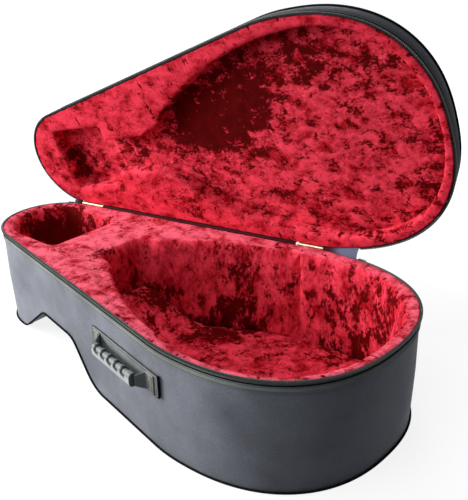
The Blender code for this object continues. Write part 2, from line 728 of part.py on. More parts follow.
# Half of the strap's run: station, drop from the grip's middle and width, flat in the grip, then to the root
ROOT_DROP = GRIP_REACH - HANDLE_AXIS
grip_end = GRIP_LENGTH / 2
strap_run = [(0.0, 0.0, STRAP_WIDTH), (grip_end - STRAP_BEND, 0.0, STRAP_WIDTH),
             (grip_end + 0.1 * (ROOT_X - grip_end), 0.2 * ROOT_DROP, 0.92 * STRAP_WIDTH),
             (grip_end + 0.5 * (ROOT_X - grip_end), 0.6 * ROOT_DROP, 0.52 * STRAP_WIDTH),
             (ROOT_X - ROOT_RADIUS, 0.93 * ROOT_DROP, 0.28 * STRAP_WIDTH)]


def strap_faces(bm):
    edges = []
    for x, drop, width in strap_run:
        y = grip_y + drop
        edges.append((bm.verts.new((x, y, -width / 2)), bm.verts.new((x, y, width / 2))))
    for (a, b), (c, d) in zip(edges, edges[1:]):
        bm.faces.new((a, b, d, c))


strap = add_object("handle_strap", mesh_from("handle_strap", strap_faces), TRIM_LOOK, handle_frame)
both = strap.modifiers.new("both_ends", "MIRROR")
both.use_axis = (True, False, False)
both.merge_threshold = 0.0001
thick = strap.modifiers.new("thickness", "SOLIDIFY")
thick.thickness = STRAP_THICKNESS
thick.offset = 0
for side in (-1, 1):
    root = cylinder(f"strap_root_{side}", (side * (ROOT_X - ROOT_LENGTH), swing_y, 0),
                    (side * ROOT_X, swing_y, 0), ROOT_RADIUS - GAP, matrix=handle_frame)
    combine(strap, root, "UNION")

grip = box("handle_grip", (-grip_end, grip_y - GRIP_THICKNESS / 2, -GRIP_WIDTH / 2),
           (grip_end, grip_y + GRIP_THICKNESS / 2, GRIP_WIDTH / 2), ("grip", GRIP_GREY, 0.5), handle_frame)
soften = grip.modifiers.new("rounded", "BEVEL")
soften.width = GRIP_ROUND
soften.segments = 3
slot_half = STRAP_THICKNESS / 2 + GAP
slot_wide = STRAP_WIDTH / 2 + GAP
slot = box("strap_slot", (-GRIP_LENGTH, grip_y - slot_half, -slot_wide),
           (GRIP_LENGTH, grip_y + slot_half, slot_wide), matrix=handle_frame)
combine(grip, slot)
mouth = grip_end - STRAP_BEND - GAP
for side in (-1, 1):
    low, high = sorted((side * mouth, side * GRIP_LENGTH))
    combine(grip, box(f"strap_mouth_{side}", (low, grip_y - slot_half, -slot_wide),
                      (high, grip_y + GRIP_THICKNESS, slot_wide), matrix=handle_frame))
finger_y = grip_y + GRIP_THICKNESS / 2 + FINGER_RADIUS - FINGER_DEPTH
finger_pitch = 2 * (mouth - FINGER_CLEAR) / FINGERS
for k in range(FINGERS):
    x = (k - (FINGERS - 1) / 2) * finger_pitch
    combine(grip, cylinder(f"finger_{k}", (x, finger_y, -GRIP_WIDTH), (x, finger_y, GRIP_WIDTH),
                           FINGER_RADIUS, matrix=handle_frame, sides=20))

# Zip sliders, parked in the two ends of the open zip; each is laid out with X along the rim and -Y outwards

TEETH_FACE = -(2 * GAP + TAPE + TEETH_DEPTH)
plate_high = TEETH_FACE - GAP - SLIDER_LIFT
plate_low = plate_high - SLIDER_THICKNESS
bridge_y = plate_low - BRIDGE_REACH
bridge_z = -SLIDER_HEIGHT / 2
for end, (spot, normal) in (("head", zip_run[0]), ("tail", zip_run[-1])):
    along = Vector((-normal.y, normal.x, 0))
    inwards = along if end == "head" else -along
    place = spot.to_3d() + inwards * SLIDER_PARK + Vector((0, 0, RIM_HEIGHT))
    turn = Matrix((along, -normal.to_3d(), (0, 0, 1))).transposed().to_4x4()
    frame = Matrix.Translation(place) @ turn
    slider = box(f"zip_{end}_slider", (-SLIDER_LENGTH / 2, plate_low, -SLIDER_HEIGHT),
                 (SLIDER_LENGTH / 2, plate_high, -GAP), NICKEL_LOOK, frame)
    flange = box(f"{end}_flange", (-SLIDER_LENGTH / 2, plate_high - SLIDER_THICKNESS / 2, -SLIDER_HEIGHT),
                 (SLIDER_LENGTH / 2, -2 * GAP - TAPE, -2 * GAP - TEETH_HEIGHT), matrix=frame)
    combine(slider, flange, "UNION")
    cheek_near = PULL_WIDTH / 2 + GAP
    for side in (-1, 1):
        low, high = sorted((side * cheek_near, side * (cheek_near + CHEEK)))
        cheek = box(f"{end}_cheek_{side}", (low, bridge_y - BRIDGE_RADIUS, bridge_z - CHEEK),
                    (high, plate_low + SLIDER_THICKNESS / 2, bridge_z + CHEEK), matrix=frame)
        combine(slider, cheek, "UNION")
    bar_reach = cheek_near + CHEEK / 2
    bar = cylinder(f"{end}_bar", (-bar_reach, bridge_y, bridge_z), (bar_reach, bridge_y, bridge_z),
                   BRIDGE_RADIUS, matrix=frame, sides=12)
    combine(slider, bar, "UNION")
    pull = box(f"zip_{end}_pull", (-PULL_WIDTH / 2, bridge_y - PULL_THICKNESS / 2, bridge_z - PULL_LENGTH),
               (PULL_WIDTH / 2, bridge_y + PULL_THICKNESS / 2, bridge_z), NICKEL_LOOK, frame)
    eye = cylinder(f"{end}_eye", (-PULL_WIDTH / 2, bridge_y, bridge_z), (PULL_WIDTH / 2, bridge_y, bridge_z),
                   BRIDGE_RADIUS + PULL_EYE, matrix=frame, sides=12)
    combine(pull, eye, "UNION")
    eye_bore = cylinder(f"{end}_eye_bore", (-PULL_WIDTH, bridge_y, bridge_z),
                        (PULL_WIDTH, bridge_y, bridge_z), BRIDGE_RADIUS + PIN_PLAY, matrix=frame, sides=12)
    combine(pull, eye_bore)
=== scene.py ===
import json
import math

import bmesh
import bpy
import numpy as np
from mathutils import Matrix, Vector, kdtree, noise


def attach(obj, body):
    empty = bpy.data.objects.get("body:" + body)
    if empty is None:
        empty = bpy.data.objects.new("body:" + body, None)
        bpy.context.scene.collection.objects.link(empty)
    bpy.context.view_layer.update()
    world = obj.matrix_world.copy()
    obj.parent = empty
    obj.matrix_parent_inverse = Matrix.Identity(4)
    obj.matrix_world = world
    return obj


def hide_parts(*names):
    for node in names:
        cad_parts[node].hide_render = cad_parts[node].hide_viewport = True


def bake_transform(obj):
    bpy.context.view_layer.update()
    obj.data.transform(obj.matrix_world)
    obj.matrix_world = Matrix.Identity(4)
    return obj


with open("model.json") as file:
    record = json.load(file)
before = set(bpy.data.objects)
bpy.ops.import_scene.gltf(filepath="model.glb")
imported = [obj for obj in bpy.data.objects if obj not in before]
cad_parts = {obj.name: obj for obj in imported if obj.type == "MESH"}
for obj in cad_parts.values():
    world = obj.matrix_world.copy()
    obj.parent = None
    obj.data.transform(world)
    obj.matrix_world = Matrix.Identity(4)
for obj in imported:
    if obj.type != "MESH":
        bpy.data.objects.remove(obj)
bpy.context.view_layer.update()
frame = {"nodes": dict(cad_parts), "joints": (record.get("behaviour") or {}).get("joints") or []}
scene = bpy.context.scene
scene.view_settings.view_transform = "Standard"

# Camera, lamps and floor
# The case stands on a white floor and is seen from in front and above, past its wide end. A large soft lamp
# stands low to the left, weaker ones in front and behind, one hangs overhead, and the room gives a little
# light.
LOOK_AT = Vector((-0.28697, 0.24999, 0.104))
DISTANCE = 1.6151
LENS = 57.54
azimuth, elevation, roll = (math.radians(a) for a in (41.206, 24.136, -1.338))
away = Vector((math.sin(azimuth) * math.cos(elevation), -math.cos(azimuth) * math.cos(elevation),
               math.sin(elevation)))
level = Vector((math.cos(azimuth), math.sin(azimuth), 0))
upright = away.cross(level)
right = level * math.cos(roll) + upright * math.sin(roll)
top = upright * math.cos(roll) - level * math.sin(roll)
camera = bpy.data.objects.new("camera", bpy.data.cameras.new("camera"))
camera.data.lens = LENS
camera.data.sensor_width = 36
camera.matrix_world = (Matrix.Translation(LOOK_AT + away * DISTANCE)
                       @ Matrix((right, top, away)).transposed().to_4x4())
scene.collection.objects.link(camera)
scene.camera = camera


def colour(code):
    """An sRGB hex value as linear red, green, blue and alpha."""
    parts = [int(code[k:k + 2], 16) / 255 for k in (1, 3, 5)]
    return (*(c / 12.92 if c <= 0.04045 else ((c + 0.055) / 1.055) ** 2.4 for c in parts), 1)


def add(tree, kind, inputs=None, **settings):
    """Adds a node. An input is a value, or the output socket of another node."""
    node = tree.nodes.new(kind)
    for name, value in settings.items():
        setattr(node, name, value)
    for key, value in (inputs or {}).items():
        if isinstance(value, bpy.types.NodeSocket):
            tree.links.new(value, node.inputs[key])
        else:
            node.inputs[key].default_value = value
    return node


LIT_SPOT, LAMP_DISTANCE = Vector((-0.2, 0, 0.2)), 2.6
LAMPS = (("left_lamp", -148, 13, 1.5, 1.55), ("front_lamp", -112, 26, 1.4, 0.2),
         ("overhead_lamp", -90, 76, 1.8, 0.5), ("back_lamp", 125, 24, 1.5, 0.4))  # bearing, height, size and strength
for name, bearing, height, size, strength in LAMPS:
    lamp = bpy.data.lights.new(name, "AREA")
    lamp.shape = "DISK"
    lamp.size = size
    lamp.energy = (math.pi * LAMP_DISTANCE) ** 2 * strength
    a, b = math.radians(bearing), math.radians(height)
    way = Vector((math.cos(a) * math.cos(b), math.sin(a) * math.cos(b), math.sin(b)))
    holder = bpy.data.objects.new(name, lamp)
    holder.location = LIT_SPOT + way * LAMP_DISTANCE
    holder.rotation_euler = way.to_track_quat("Z", "Y").to_euler()
    holder.visible_camera = False
    scene.collection.objects.link(holder)

ROOM_LIGHT = 0.08
world = bpy.data.worlds.new("white_room")
scene.world = world
world.use_nodes = True
tree = world.node_tree
tree.nodes.clear()
path = add(tree, "ShaderNodeLightPath")
seen = add(tree, "ShaderNodeMath", {0: path.outputs["Is Camera Ray"], 1: path.outputs["Is Glossy Ray"]},
           operation="MAXIMUM")
seen = add(tree, "ShaderNodeMath", {0: seen.outputs[0], 1: path.outputs["Is Transmission Ray"]},
           operation="MAXIMUM")
room = add(tree, "ShaderNodeBackground", {"Color": colour("#cddaff"), "Strength": ROOM_LIGHT})
white = add(tree, "ShaderNodeBackground", {"Color": (1, 1, 1, 1), "Strength": 1.0})
both = add(tree, "ShaderNodeMixShader", {0: seen.outputs[0], 1: room.outputs[0], 2: white.outputs[0]})
add(tree, "ShaderNodeOutputWorld", {"Surface": both.outputs[0]})


def new_material(name):
    made = bpy.data.materials.new(name)
    made.use_nodes = True
    made.node_tree.nodes.clear()
    return made, made.node_tree


# Painted studio floor: flat white, and partly its own light to the camera, more so far from the case, so that
# it meets the white room and still takes the case's shadow
painted_floor, tree = new_material("painted_floor")
path = add(tree, "ShaderNodeLightPath")
seen = add(tree, "ShaderNodeMath", {0: path.outputs["Is Camera Ray"], 1: path.outputs["Is Glossy Ray"]},
           operation="MAXIMUM")
seen = add(tree, "ShaderNodeMath", {0: seen.outputs[0], 1: path.outputs["Is Transmission Ray"]},
           operation="MAXIMUM")
spot = add(tree, "ShaderNodeTexCoord")
far = add(tree, "ShaderNodeVectorMath", {0: spot.outputs["Object"]}, operation="LENGTH")
glowing = add(tree, "ShaderNodeMapRange", {0: far.outputs["Value"], 1: 0.5, 2: 2.0, 3: 0.85, 4: 1.0})
glow = add(tree, "ShaderNodeMath", {0: glowing.outputs[0], 1: seen.outputs[0]}, operation="MULTIPLY")
paint = add(tree, "ShaderNodeBsdfDiffuse", {"Color": colour("#808080")})
light = add(tree, "ShaderNodeEmission", {"Color": (1, 1, 1, 1), "Strength": glow.outputs[0]})
total = add(tree, "ShaderNodeAddShader", {0: paint.outputs[0], 1: light.outputs[0]})
add(tree, "ShaderNodeOutputMaterial", {"Surface": total.outputs[0]})
FLOOR_SIZE = 12
floor_mesh = bpy.data.meshes.new("floor")
half = FLOOR_SIZE / 2
floor_mesh.from_pydata([(-half, -half, -0.0003), (half, -half, -0.0003), (half, half, -0.0003),
                        (-half, half, -0.0003)], [], [(0, 1, 2, 3)])
floor = bpy.data.objects.new("floor", floor_mesh)
floor_mesh.materials.append(painted_floor)
scene.collection.objects.link(floor)

# Side wall of the lower half
# A thin board bent to the teardrop plan and covered with coated nylon, glued on. Its lower edge rises under
# the neck, and its upper edge stops below the rim, where the lining turns over it.
HEAD_LENGTH, TAIL_LENGTH, HALF_WIDTH = 0.625, 0.225, 0.208
HEAD_RADIUS = 0.100
SHOULDER_LENGTH = 0.250
TAIL_FULLNESS = 2.35
HEAD_ZIP_ANGLE = math.radians(120)
ZIP_OVERRUN = 0.025
RIM = 0.189
WALL = 0.006
WALL_EDGE = 0.0022
LID_DEPTH, LID_LEAN, WEB_REACH = 0.050, 0.006, 0.030  # the lid's wall leans in above the trimmed band
LINING_WRAP = 0.010  # the wall's edge stands this far below the rim, inside the zip tape
FOOT_END, ARCH_START, ARCH_END, BASE_START = -0.522, -0.423, -0.311, -0.251
ARCH_HEIGHT = 0.074
UNDER_ROUNDS = (0.054, 0.036, 0.033, 0.062)
LEAN_HEIGHT, BASE_LEAN = 0.095, 0.004  # below this height the wall leans in towards the base
TAU = 2 * math.pi


def span(low, high, steps):
    return [low + (high - low) * k / steps for k in range(steps + 1)]


def flank_normal():
    """Direction of the back flank's normal: the common tangent of the narrow arc and the shoulder curve."""
    low, high = math.radians(91), math.radians(130)
    for _ in range(50):
        middle = (low + high) / 2
        c, s = math.cos(middle), math.sin(middle)
        if (HEAD_RADIUS - HEAD_LENGTH) * c + HEAD_RADIUS < math.hypot(SHOULDER_LENGTH * c, HALF_WIDTH * s):
            low = middle
        else:
            high = middle
    return low


FLANK = flank_normal()
SLOPE = FLANK - math.pi / 2


def head_point(angle):
    normal = Vector((math.cos(angle), math.sin(angle)))
    return Vector((HEAD_RADIUS - HEAD_LENGTH, 0)) + normal * HEAD_RADIUS, normal


def shoulder_point(angle):
    normal = Vector((math.cos(angle), math.sin(angle)))
    reach = math.hypot(SHOULDER_LENGTH * normal.x, HALF_WIDTH * normal.y)
    return Vector((SHOULDER_LENGTH**2 * normal.x, HALF_WIDTH**2 * normal.y)) / reach, normal


def tail_point(angle):
    n = TAIL_FULLNESS
    c, s = abs(math.cos(angle)), abs(math.sin(angle))
    side = 1 if math.sin(angle) > 0 else -1
    spot = Vector((TAIL_LENGTH * c ** (2 / n), side * HALF_WIDTH * s ** (2 / n)))
    normal = Vector(((spot.x / TAIL_LENGTH) ** (n - 1) / TAIL_LENGTH,
                     side * abs(spot.y / HALF_WIDTH) ** (n - 1) / HALF_WIDTH))
    return spot, normal.normalized()


# The plan's outline, counterclockwise from the zip's start: places, outward normals and lengths so far
plan = []
for curve, start, end in ((head_point, HEAD_ZIP_ANGLE, TAU - FLANK), (shoulder_point, TAU - FLANK, 0.75 * TAU),
                          (tail_point, -TAU / 4, TAU / 4), (shoulder_point, TAU / 4, FLANK),
                          (head_point, FLANK, HEAD_ZIP_ANGLE)):
    plan += [curve(a) for a in span(start, end, 500)]
plan_x, plan_y = (np.array([spot[k] for spot, normal in plan]) for k in (0, 1))
plan_nx, plan_ny = (np.array([normal[k] for spot, normal in plan]) for k in (0, 1))
plan_s = np.concatenate([[0], np.cumsum(np.hypot(np.diff(plan_x), np.diff(plan_y)))])
ROUND = plan_s[-1]
S_TIP, S_TAIL = plan_s[plan_x.argmin()], plan_s[plan_x.argmax()]
S_STOP = plan_s[(plan_y > 0) & (plan_x >= ZIP_OVERRUN)][-1]


def along_rim(start, end, step):
    """Evenly spaced places on the outline: place, outward normal and length from the zip's start."""
    places = np.linspace(start, end, max(2, round((end - start) / step)) + 1)
    rows = [np.interp(places, plan_s, row) for row in (plan_x, plan_y, plan_nx, plan_ny)]
    return [(Vector((x, y)), Vector((a, b)).normalized(), s) for x, y, a, b, s in zip(*rows, places)]


def rounded(corners, radii, steps=16):
    """An open path through corners, each inner corner an arc."""
    path = [Vector(corners[0])]
    for before, here, after, radius in zip(corners, corners[1:], corners[2:], radii):
        here = Vector(here)
        a, b = (Vector(before) - here).normalized(), (Vector(after) - here).normalized()
        half = a.angle(b) / 2
        centre = here + (a + b).normalized() * radius / math.sin(half)
        start = here + a * radius / math.tan(half) - centre
        end = here + b * radius / math.tan(half) - centre
        turn = start.angle_signed(end)
        path += [centre + Matrix.Rotation(-turn * k / steps, 2) @ start for k in range(steps + 1)]
    return path + [Vector(corners[-1])]


underside = rounded([(-HEAD_LENGTH - 0.05, 0), (FOOT_END, 0), (ARCH_START, ARCH_HEIGHT), (ARCH_END, ARCH_HEIGHT),
                     (BASE_START, 0), (TAIL_LENGTH + 0.05, 0)], UNDER_ROUNDS)
under_x, under_z = (np.array([p[k] for p in underside]) for k in (0, 1))


def underside_at(x):
    return float(np.interp(x, under_x, under_z))


def solid(name, points, faces, uvs=None, sharp=38):
    """A closed mesh with its faces pointing out, smooth but for its sharp edges."""
    mesh = bpy.data.meshes.new(name)
    mesh.from_pydata([tuple(p) for p in points], [], faces)
    if uvs is not None:
        layer = mesh.uv_layers.new(name="UVMap")
        layer.data.foreach_set("uv", np.array(uvs, np.float32).ravel())
    bm = bmesh.new()
    bm.from_mesh(mesh)
    bmesh.ops.remove_doubles(bm, verts=bm.verts, dist=1e-6)
    if bm.calc_volume(signed=True) < 0:
        bmesh.ops.reverse_faces(bm, faces=bm.faces)
    bm.to_mesh(mesh)
    bm.free()
    mesh.shade_smooth()
    mesh.set_sharp_from_angle(angle=math.radians(sharp))
    piece = bpy.data.objects.new(name, mesh)
    scene.collection.objects.link(piece)
    return piece


def loft(name, rings, closed=False, sharp=38):
    """Closed sections joined along their path. The UV map runs along the path and round the section, in metres."""
    grid = np.array(rings)
    count, size = grid.shape[:2]
    along = np.linalg.norm(np.roll(grid, -1, 0) - grid, axis=2).mean(1)
    around = np.linalg.norm(np.roll(grid, -1, 1) - grid, axis=2).mean(0)
    u = np.concatenate([[0], np.cumsum(along)])
    v = np.concatenate([[0], np.cumsum(around)])
    faces, uvs = [], []
    for i in range(count if closed else count - 1):
        j = (i + 1) % count
        for k in range(size):
            m = (k + 1) % size
            faces.append((i * size + k, j * size + k, j * size + m, i * size + m))
            uvs += [(u[i], v[k]), (u[i + 1], v[k]), (u[i + 1], v[k + 1]), (u[i], v[k + 1])]
    if not closed:
        for i, order in ((0, range(size)), (count - 1, range(size - 1, -1, -1))):
            faces.append(tuple(i * size + k for k in order))
            uvs += [(u[i], v[k]) for k in order]
    return solid(name, grid.reshape(-1, 3), faces, uvs, sharp)


def corner(out, z, radius, start, end, steps=3):
    """An arc of a section, as (outward, height) pairs."""
    return [(out + radius * math.cos(math.radians(a)), z + radius * math.sin(math.radians(a)))
            for a in span(start, end, steps)]


def lean_at(height):
    """How far the wall leans in at a height: towards the base, and on the lid towards its top."""
    if height < RIM:
        return BASE_LEAN * max(0, 1 - height / LEAN_HEIGHT)
    return LID_LEAN * max(0, height - RIM - WEB_REACH) / (LID_DEPTH - WEB_REACH)


def lifted(place, normal, section):
    """A section set on the outline. Its parts lean with the wall."""
    leaning = [(out - lean_at(z), z) for out, z in section]
    return [(place.x + normal.x * out, place.y + normal.y * out, z) for out, z in leaning]


def unevenness(x, y, z, size, height):
    """The slight waves of cloth glued over board."""
    return height * noise.noise(Vector((x, y, z)) / size)


WAVE_SIZE, WAVE_HEIGHT = 0.09, 0.0006
rings = []
for place, normal, s in along_rim(0, ROUND, 0.005)[:-1]:
    low, high = underside_at(place.x), RIM - LINING_WRAP
    face = [(unevenness(place.x, place.y, z, WAVE_SIZE, WAVE_HEIGHT) * math.sin(math.pi * (z - low) / (high - low)),
             z) for z in span(low + WALL_EDGE, high - WALL_EDGE, 12)]
    section = corner(-WALL_EDGE, low + WALL_EDGE, WALL_EDGE, -90, -20) + face
    section += corner(-WALL_EDGE, high - WALL_EDGE, WALL_EDGE, 20, 90) + [(-WALL, z) for z in span(high, low, 4)]
    rings.append(lifted(place, normal, section))
side_cover = loft("lower_side_cover", rings, closed=True)

# Coated nylon cloth, a plain weave pressed smooth, glued to board: satin, a little uneven, threads just felt
THREAD = 0.0011  # the real cloth's threads lie about 0.5 mm apart, too fine to show


def nylon_cloth(name, shade, thread=THREAD, weave=0.25, roughness=0.55, gloss=0.1, sheen=0.02, fold_shade=None):
    made, tree = new_material(name)
    uv = add(tree, "ShaderNodeUVMap", uv_map="UVMap")
    axes = add(tree, "ShaderNodeSeparateXYZ", {0: uv.outputs[0]})
    threads = []
    for axis in (0, 1):
        turned = add(tree, "ShaderNodeMath", {0: axes.outputs[axis], 1: TAU / thread}, operation="MULTIPLY")
        threads.append(add(tree, "ShaderNodeMath", {0: turned.outputs[0]}, operation="SINE"))
    crossed = add(tree, "ShaderNodeMath", {0: threads[0].outputs[0], 1: threads[1].outputs[0]},
                  operation="MULTIPLY")
    spot = add(tree, "ShaderNodeTexCoord")
    clouds = add(tree, "ShaderNodeTexNoise", {"Vector": spot.outputs["Object"], "Scale": 11.0, "Detail": 3.0,
                                              "Roughness": 0.55})
    dust = add(tree, "ShaderNodeTexNoise", {"Vector": spot.outputs["Object"], "Scale": 420.0, "Detail": 2.0})
    base = colour(shade)
    pale = tuple(min(1, c * 1.28) for c in base[:3]) + (1,)
    deep = tuple(c * 0.76 for c in base[:3]) + (1,)
    cloudy = add(tree, "ShaderNodeMapRange", {0: clouds.outputs["Fac"], 1: 0.32, 2: 0.68, 3: 0.0, 4: 1.0})
    tone = add(tree, "ShaderNodeMix", {0: cloudy.outputs[0], 6: deep, 7: pale}, data_type="RGBA")
    # Where the cloth's attribute says so it is painted a darker colour: painted shade in a fold
    if fold_shade:
        share = add(tree, "ShaderNodeAttribute", attribute_name="stained")
        tone = add(tree, "ShaderNodeMix", {0: share.outputs["Fac"], 6: tone.outputs[2], 7: colour(fold_shade)},
                   data_type="RGBA")
    speck = add(tree, "ShaderNodeMapRange", {0: dust.outputs["Fac"], 1: 0.3, 2: 0.7, 3: 0.88, 4: 1.12})
    toned = add(tree, "ShaderNodeMix", {0: 1.0, 6: tone.outputs[2], 7: speck.outputs[0]}, data_type="RGBA",
                blend_type="MULTIPLY")
    rough = add(tree, "ShaderNodeMapRange", {0: clouds.outputs["Fac"], 1: 0.3, 2: 0.7, 3: roughness - 0.06,
                                             4: roughness + 0.08})
    woven = add(tree, "ShaderNodeBump", {"Height": crossed.outputs[0], "Strength": weave, "Distance": 0.0003})
    waved = add(tree, "ShaderNodeBump", {"Height": clouds.outputs["Fac"], "Strength": 0.35, "Distance": 0.004,
                                         "Normal": woven.outputs[0]})
    shader = add(tree, "ShaderNodeBsdfPrincipled", {"Base Color": toned.outputs[2], "Roughness": rough.outputs[0],
                                                    "Specular IOR Level": gloss, "Normal": waved.outputs[0],
                                                    "Sheen Weight": sheen, "Sheen Roughness": 0.4})
    add(tree, "ShaderNodeOutputMaterial", {"Surface": shader.outputs[0]})
    return made


coated_nylon = nylon_cloth("coated_nylon", "#787b83")
side_cover.data.materials.append(coated_nylon)
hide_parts("lower_side_wall")
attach(side_cover, "shell")

# Bottom of the lower half
# Three boards under the same nylon, joined in one run: the foot under the narrow end, the arch beneath the
# neck and the flat base. They sit inside the wall's lower edge.
BOARD = 0.006


def plate(name, inset, low, high, columns=18):
    """A board within the leaning wall, between two heights given by functions of x."""
    front = [place - normal * (inset + lean_at(low(place.x))) for place, normal, s in along_rim(S_TIP, S_TAIL, 0.006)]
    rows = len(front)
    points = []
    for height in (low, high):
        for p in front:
            points += [(p.x, p.y * (1 - 2 * k / columns), height(p.x)) for k in range(columns + 1)]
    wide = columns + 1
    faces = []
    for side in (0, 1):
        base = side * rows * wide
        for i in range(rows - 1):
            for k in range(columns):
                quad = [base + i * wide + k, base + i * wide + k + 1, base + (i + 1) * wide + k + 1,
                        base + (i + 1) * wide + k]
                faces.append(tuple(quad if side else quad[::-1]))
    for i in range(rows - 1):
        for k, turn in ((0, 1), (columns, -1)):
            quad = [i * wide + k, rows * wide + i * wide + k, rows * wide + (i + 1) * wide + k, (i + 1) * wide + k]
            faces.append(tuple(quad[::turn]))
    uvs = [(points[v][0], points[v][1]) for face in faces for v in face]
    return solid(name, points, faces, uvs)


bottom_cover = plate("bottom_cover", WALL - 0.0004, lambda x: underside_at(x) + 0.0003,
                     lambda x: underside_at(x) + BOARD)
bottom_cover.data.materials.append(coated_nylon)
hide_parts("foot_board", "arch_board", "base_board")
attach(bottom_cover, "shell")

# Lid shell
# The lid's side wall and its top board, covered like the lower half, but with a much darker copy of its nylon:
# painted shade for the lid's outside, which is in shade. Both are laid out on the closed case and turned up about
# the hinge line.
hinge = next(j for j in frame["joints"] if j["name"] == "lid_hinge")
hinge_spot, hinge_axis = Vector(hinge["pos_m"]), Vector(hinge["axis"])
LID_ANGLE = math.radians(-hinge["range_deg"][0])
LID_EDGE = 0.0015
open_lid = (Matrix.Translation(hinge_spot) @ Matrix.Rotation(LID_ANGLE, 4, hinge_axis)
            @ Matrix.Translation(-hinge_spot))
lid_top = RIM + LID_DEPTH
rings = []
for place, normal, s in along_rim(0, ROUND, 0.005)[:-1]:
    low, high = RIM + LINING_WRAP, lid_top
    face = [(unevenness(place.x, place.y, z, WAVE_SIZE, WAVE_HEIGHT) * math.sin(math.pi * (z - low) / (high - low)),
             z) for z in span(low + WALL_EDGE, high - LID_EDGE, 6)]
    section = corner(-WALL_EDGE, low + WALL_EDGE, WALL_EDGE, -90, -20) + face
    section += corner(-LID_EDGE, high - LID_EDGE, LID_EDGE, 15, 90, 5) + [(-WALL, z) for z in span(high, low, 3)]
    rings.append(lifted(place, normal, section))
lid_cover = loft("lid_side_cover", rings, closed=True)
lid_cover.data.transform(open_lid)
# The lid's nylon is the lower half's cloth painted much darker: painted shade
shaded_lid_nylon = nylon_cloth("coated_nylon_of_lid", "#303338", roughness=0.6, gloss=0.08, sheen=0)
lid_cover.data.materials.append(shaded_lid_nylon)
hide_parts("lid_side_wall")
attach(lid_cover, "lid")

lid_board = plate("lid_top_cover", WALL - 0.0004, lambda x: lid_top - BOARD, lambda x: lid_top - 0.0003)
lid_board.data.transform(open_lid)
lid_board.data.materials.append(shaded_lid_nylon)
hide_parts("lid_top_board")
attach(lid_board, "lid")

# Piping
# A thin black cord sewn round the lower edge and another round the lid's outer edge, where wall and board
# meet. The lower one follows the arch.
PIPING = 0.0018
PIPING_GAP = 0.0003
SEWN_IN = 0.0003  # the cord is drawn this far into the cloth by its seam


def round_section(out, z, radius, sides=12):
    return [(out + radius * math.cos(TAU * k / sides), z + radius * math.sin(TAU * k / sides)) for k in range(sides)]


# Black nylon braid over cord: fine slanted threads, a dull gleam along the top
black_braid, tree = new_material("black_nylon_braid")
uv = add(tree, "ShaderNodeUVMap", uv_map="UVMap")
axes = add(tree, "ShaderNodeSeparateXYZ", {0: uv.outputs[0]})
leaning = add(tree, "ShaderNodeMath", {0: axes.outputs[0], 1: axes.outputs[1]}, operation="ADD")
twist = add(tree, "ShaderNodeMath", {0: leaning.outputs[0], 1: TAU / 0.0014}, operation="MULTIPLY")
threads = add(tree, "ShaderNodeMath", {0: twist.outputs[0]}, operation="SINE")
tone = add(tree, "ShaderNodeMapRange", {0: threads.outputs[0], 1: -1.0, 2: 1.0, 3: 0.55, 4: 1.25})
inked = add(tree, "ShaderNodeMix", {0: 1.0, 6: colour("#202224"), 7: tone.outputs[0]}, data_type="RGBA",
            blend_type="MULTIPLY")
bump = add(tree, "ShaderNodeBump", {"Height": threads.outputs[0], "Strength": 0.5, "Distance": 0.0003})
shader = add(tree, "ShaderNodeBsdfPrincipled", {"Base Color": inked.outputs[2], "Roughness": 0.55,
                                                "Normal": bump.outputs[0], "Specular IOR Level": 0.0})
add(tree, "ShaderNodeOutputMaterial", {"Surface": shader.outputs[0]})

rings = [lifted(place, normal, round_section(PIPING - SEWN_IN,
                                             underside_at(place.x + normal.x * PIPING) + PIPING, PIPING))
         for place, normal, s in along_rim(0, ROUND, 0.005)[:-1]]
bottom_piping = loft("bottom_piping_cord", rings, closed=True)
bottom_piping.data.materials.append(black_braid)
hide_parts("bottom_piping")
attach(bottom_piping, "shell")

rings = [lifted(place, normal, round_section(PIPING - SEWN_IN, lid_top - PIPING, PIPING))
         for place, normal, s in along_rim(0, ROUND, 0.005)[:-1]]
lid_piping = loft("lid_piping_cord", rings, closed=True)
lid_piping.data.transform(open_lid)
lid_piping.data.materials.append(black_braid)
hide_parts("lid_edge_piping")
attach(lid_piping, "lid")

# Foam lining of the lower half
# Blocks of foam glued inside the walls and covered with crushed velvet: one round the pegbox pocket, one that
# beds the neck and shapes the bowl's shoulders, and a slightly thinner strip round the wide end.
THROAT_X, BELLY_X = -0.340, 0.030
FLARE_X, FLARE_GAIN = -0.290, 0.0225
THROAT_SWELL, BOWL_FULLNESS = 0.82, 2.15
THROAT_HALF = 0.040
BOWL_HALF, BOWL_TAIL_X = 0.184, 0.203
SHOULDER_X = -0.067
STRIP_STEP = 0.0055
SEAM_PRESS = 0.003  # the blocks are pressed together, so that their velvet meets
POCKET_HEAD_X, POCKET_END_X, POCKET_HALF, POCKET_CORNER = -0.605, -0.442, 0.072, 0.012
LIP = 0.008
FOAM_GAP = 0.0003
BRIM = 0.0005
CUT_PAST = 0.01
LINING_TOP = RIM - 0.0005


def body_plan(half, tail_x, throat_half, steps=40):
    """The instrument's plan: a short throat, then a curve to the widest place and round the tail."""
    flare = throat_half + FLARE_GAIN
    side = [Vector((THROAT_X + (FLARE_X - THROAT_X) * t, throat_half + FLARE_GAIN * t)) for t in span(0, 1, 6)[:-1]]
    for t in span(0, 1, steps):
        side.append(Vector((FLARE_X + (BELLY_X - FLARE_X) * t,
                            flare + (half - flare) * math.sin(math.pi / 2 * t) ** THROAT_SWELL)))
    n = BOWL_FULLNESS
    for a in span(math.pi / 2, 0, steps)[1:-1]:
        side.append(Vector((BELLY_X + (tail_x - BELLY_X) * math.cos(a) ** (2 / n), half * math.sin(a) ** (2 / n))))
    front = [Vector((p.x, -p.y)) for p in side]
    return front + [Vector((tail_x, 0))] + side[::-1]


